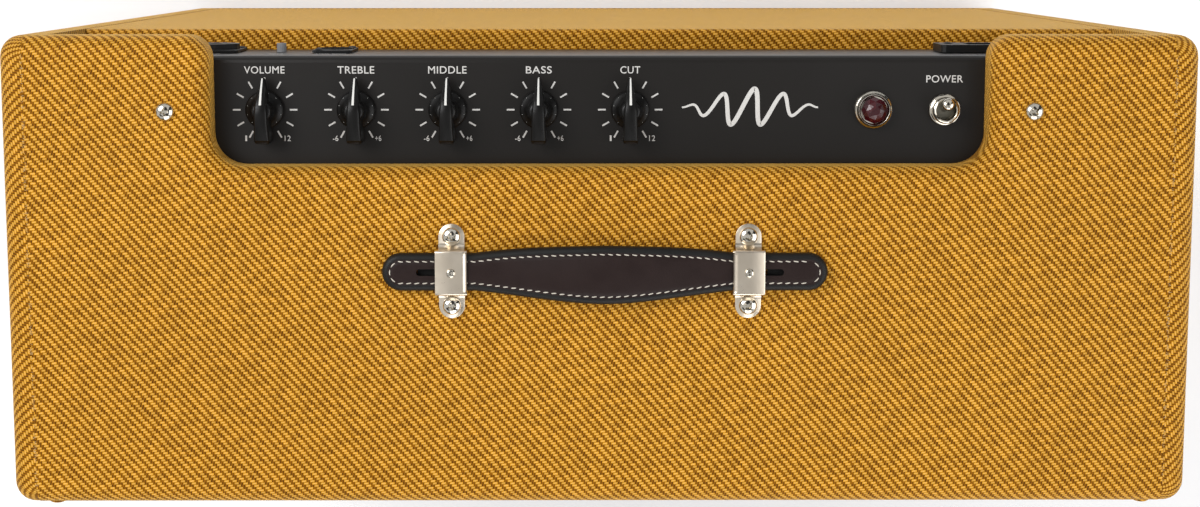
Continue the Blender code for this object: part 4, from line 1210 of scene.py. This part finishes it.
def seam_threads():
    """Frayed ends of yarn where the side's cloth meets the top's, and a fold where they turn down in front."""
    chooser = random.Random(11)
    bm = bmesh.new()
    for side in (-1, 1):
        for _ in range(170):
            y = chooser.uniform(FRONT_TOP_Y + 8 * MM, REAR_Y - 8 * MM)
            middle = Vector((side * SEAM_X + chooser.gauss(0, 0.22) * MM, y, TOP_Z + 0.10 * MM))
            turn = chooser.uniform(-0.9, 0.9)
            reach = Vector((math.cos(turn), math.sin(turn), 0)) * chooser.uniform(0.35, 0.85) * MM
            curl = Vector((-reach.y, reach.x, 0)) * chooser.uniform(-0.4, 0.4)
            raised = middle + curl * 0.6 + Vector((0, 0, 0.08 * MM))
            round_bar(bm, [middle - reach, raised, middle + reach + curl * 0.3], YARN_RADII, 5)
    add_piece("seam_threads", bm, "fray")
    folds = bmesh.new()
    layer = cloth_layer(folds)
    fold_z = TOP_Z - 16 * MM
    for side in (-1, 1):
        spot = Matrix.Translation((side * 242.5 * MM, front_y(fold_z) + 0.6 * MM, fold_z))
        shape = spot @ Matrix.Diagonal((4.6 * MM, 1.9 * MM, 9 * MM, 1))
        bmesh.ops.create_uvsphere(folds, u_segments=24, v_segments=12, radius=1.0, matrix=shape)
    map_cloth(folds.faces, layer, lambda vert: (vert.co.x, vert.co.z))
    add_piece("corner_folds", folds, "tweed")


GRILLE_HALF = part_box("grille_cloth")[1].x
GRILLE_FRONT, GRILLE_EDGE = 9.0 * MM, 17.6 * MM
GRILLE_LOW, GRILLE_TOP = 21.5 * MM, 448.5 * MM
GRILLE_ROUND = 1.6 * MM


def wrapped_reach(half):
    """Cloth stretched over a board's edge, as (distance along the cloth, distance out, depth behind)."""
    wrap = GRILLE_EDGE - GRILLE_FRONT
    flat = half - GRILLE_ROUND
    stops = [(flat * step / 24, flat * step / 24, 0.0) for step in range(24)]
    for step in range(7):
        angle = math.pi / 2 * step / 6
        out = flat + GRILLE_ROUND * math.sin(angle)
        stops.append((flat + GRILLE_ROUND * angle, out, GRILLE_ROUND * (1 - math.cos(angle))))
    end = flat + GRILLE_ROUND * math.pi / 2
    stops.append((end + wrap - GRILLE_ROUND, half, wrap))
    return [(-s, -out, depth) for s, out, depth in reversed(stops[1:])] + stops


def grille_cloth():
    """The cloth of the grille, stretched over its board and turned back at the edges."""
    columns = wrapped_reach(GRILLE_HALF)
    rows = wrapped_reach((GRILLE_TOP - GRILLE_LOW) / 2)
    middle = (GRILLE_TOP + GRILLE_LOW) / 2
    bm = bmesh.new()
    layer = cloth_layer(bm)
    maps = {}
    grid = []
    for t, rise, row_depth in rows:
        line = []
        for s, x, column_depth in columns:
            back, up = GRILLE_FRONT + max(row_depth, column_depth), middle + rise
            y = FRONT_BOTTOM_Y + back * math.cos(SLOPE) + up * math.sin(SLOPE)
            z = BOTTOM_Z + up * math.cos(SLOPE) - back * math.sin(SLOPE)
            vert = bm.verts.new((x, y, z))
            maps[vert] = (s, t)
            line.append(vert)
        grid.append(line)
    for near, far in zip(grid, grid[1:]):
        for index in range(len(near) - 1):
            bm.faces.new((near[index], near[index + 1], far[index + 1], far[index]))
    map_cloth(bm.faces, layer, maps.get)
    cloth = add_piece("grille_weave_cloth", bm, "grille_weave", replaces="grille_cloth")


# Stage


def stage():
    """Camera, floor and soft studio light."""
    data = bpy.data.cameras.new("camera")
    data.lens = 65.0
    data.sensor_width = 36
    data.clip_start = 0.05
    camera = in_scene("camera", data)
    camera.location = (-4.1 * MM, REAR_Y + 36 * MM, TOP_Z + 935 * MM)
    forward = (Vector((0, 29 * MM, TOP_Z)) - camera.location).normalized()
    right = forward.cross(Vector((0, 1, 0))).normalized()
    camera.rotation_euler = Matrix((right, right.cross(forward), -forward)).transposed().to_euler()
    bpy.context.scene.camera = camera

    floor = bmesh.new()
    bmesh.ops.create_grid(floor, x_segments=1, y_segments=1, size=8)
    mesh = mesh_from(floor, "floor")
    paper = Shader("floor_paper")
    grain = paper.noise(paper.place(), 40.0)
    tone = paper.mix(grain, (0.93, 0.93, 0.93, 1), (0.96, 0.96, 0.96, 1))
    mesh.materials.append(paper.finish(tone, paper.span(grain, 0.0, 1.0, 0.75, 0.85)))
    made = in_scene("floor", mesh)

    soft_light("key", (-1.15, 0.75, 1.75), 1.0, 23.0)
    soft_light("fill", (1.5, -0.3, 1.7), 1.5, 16.0)
    soft_light("front", (0.2, -1.9, 1.5), 1.6, 18.0)
    bpy.context.scene.world = studio_world()
    bpy.context.scene.view_settings.view_transform = "Standard"


def studio_world():
    """Pale surroundings with darker gaps between soft boxes, which only show as reflections in metal."""
    world = bpy.data.worlds.new("studio")
    world.use_nodes = True
    make = Nodes(world.node_tree)
    boxes = make.noise(make.add("TexCoord").outputs["Generated"], 1.9, 0.0)
    tones = make.ramp(boxes, (0.44, 0.06), (0.50, 1.0))
    glossy = make.add("LightPath").outputs["Is Glossy Ray"]
    background = make.nodes["Background"]
    make.put(background.inputs["Color"], make.mix(glossy, (0.95, 0.97, 1.0, 1), tones))
    background.inputs["Strength"].default_value = 0.62
    return world


def soft_light(name, place, size, power):
    data = bpy.data.lights.new(name, "AREA")
    data.size = size
    data.energy = power
    light = in_scene(name, data)
    light.location = place
    light.rotation_euler = (Vector((0, 0, 0.3)) - light.location).to_track_quat("-Z", "Y").to_euler()
    light.visible_camera = False


stage()
finish_frame_nodes()
top_cover()
side_covers()
back_and_bottom_covers()
top_screws()
handle_brackets()
handle_strap()
strap_stitches()
panel_print()
for control in CONTROLS:
    knob(control)
pilot_lamp()
power_toggle()
rear_fittings()
seam_threads()
grille_cloth()
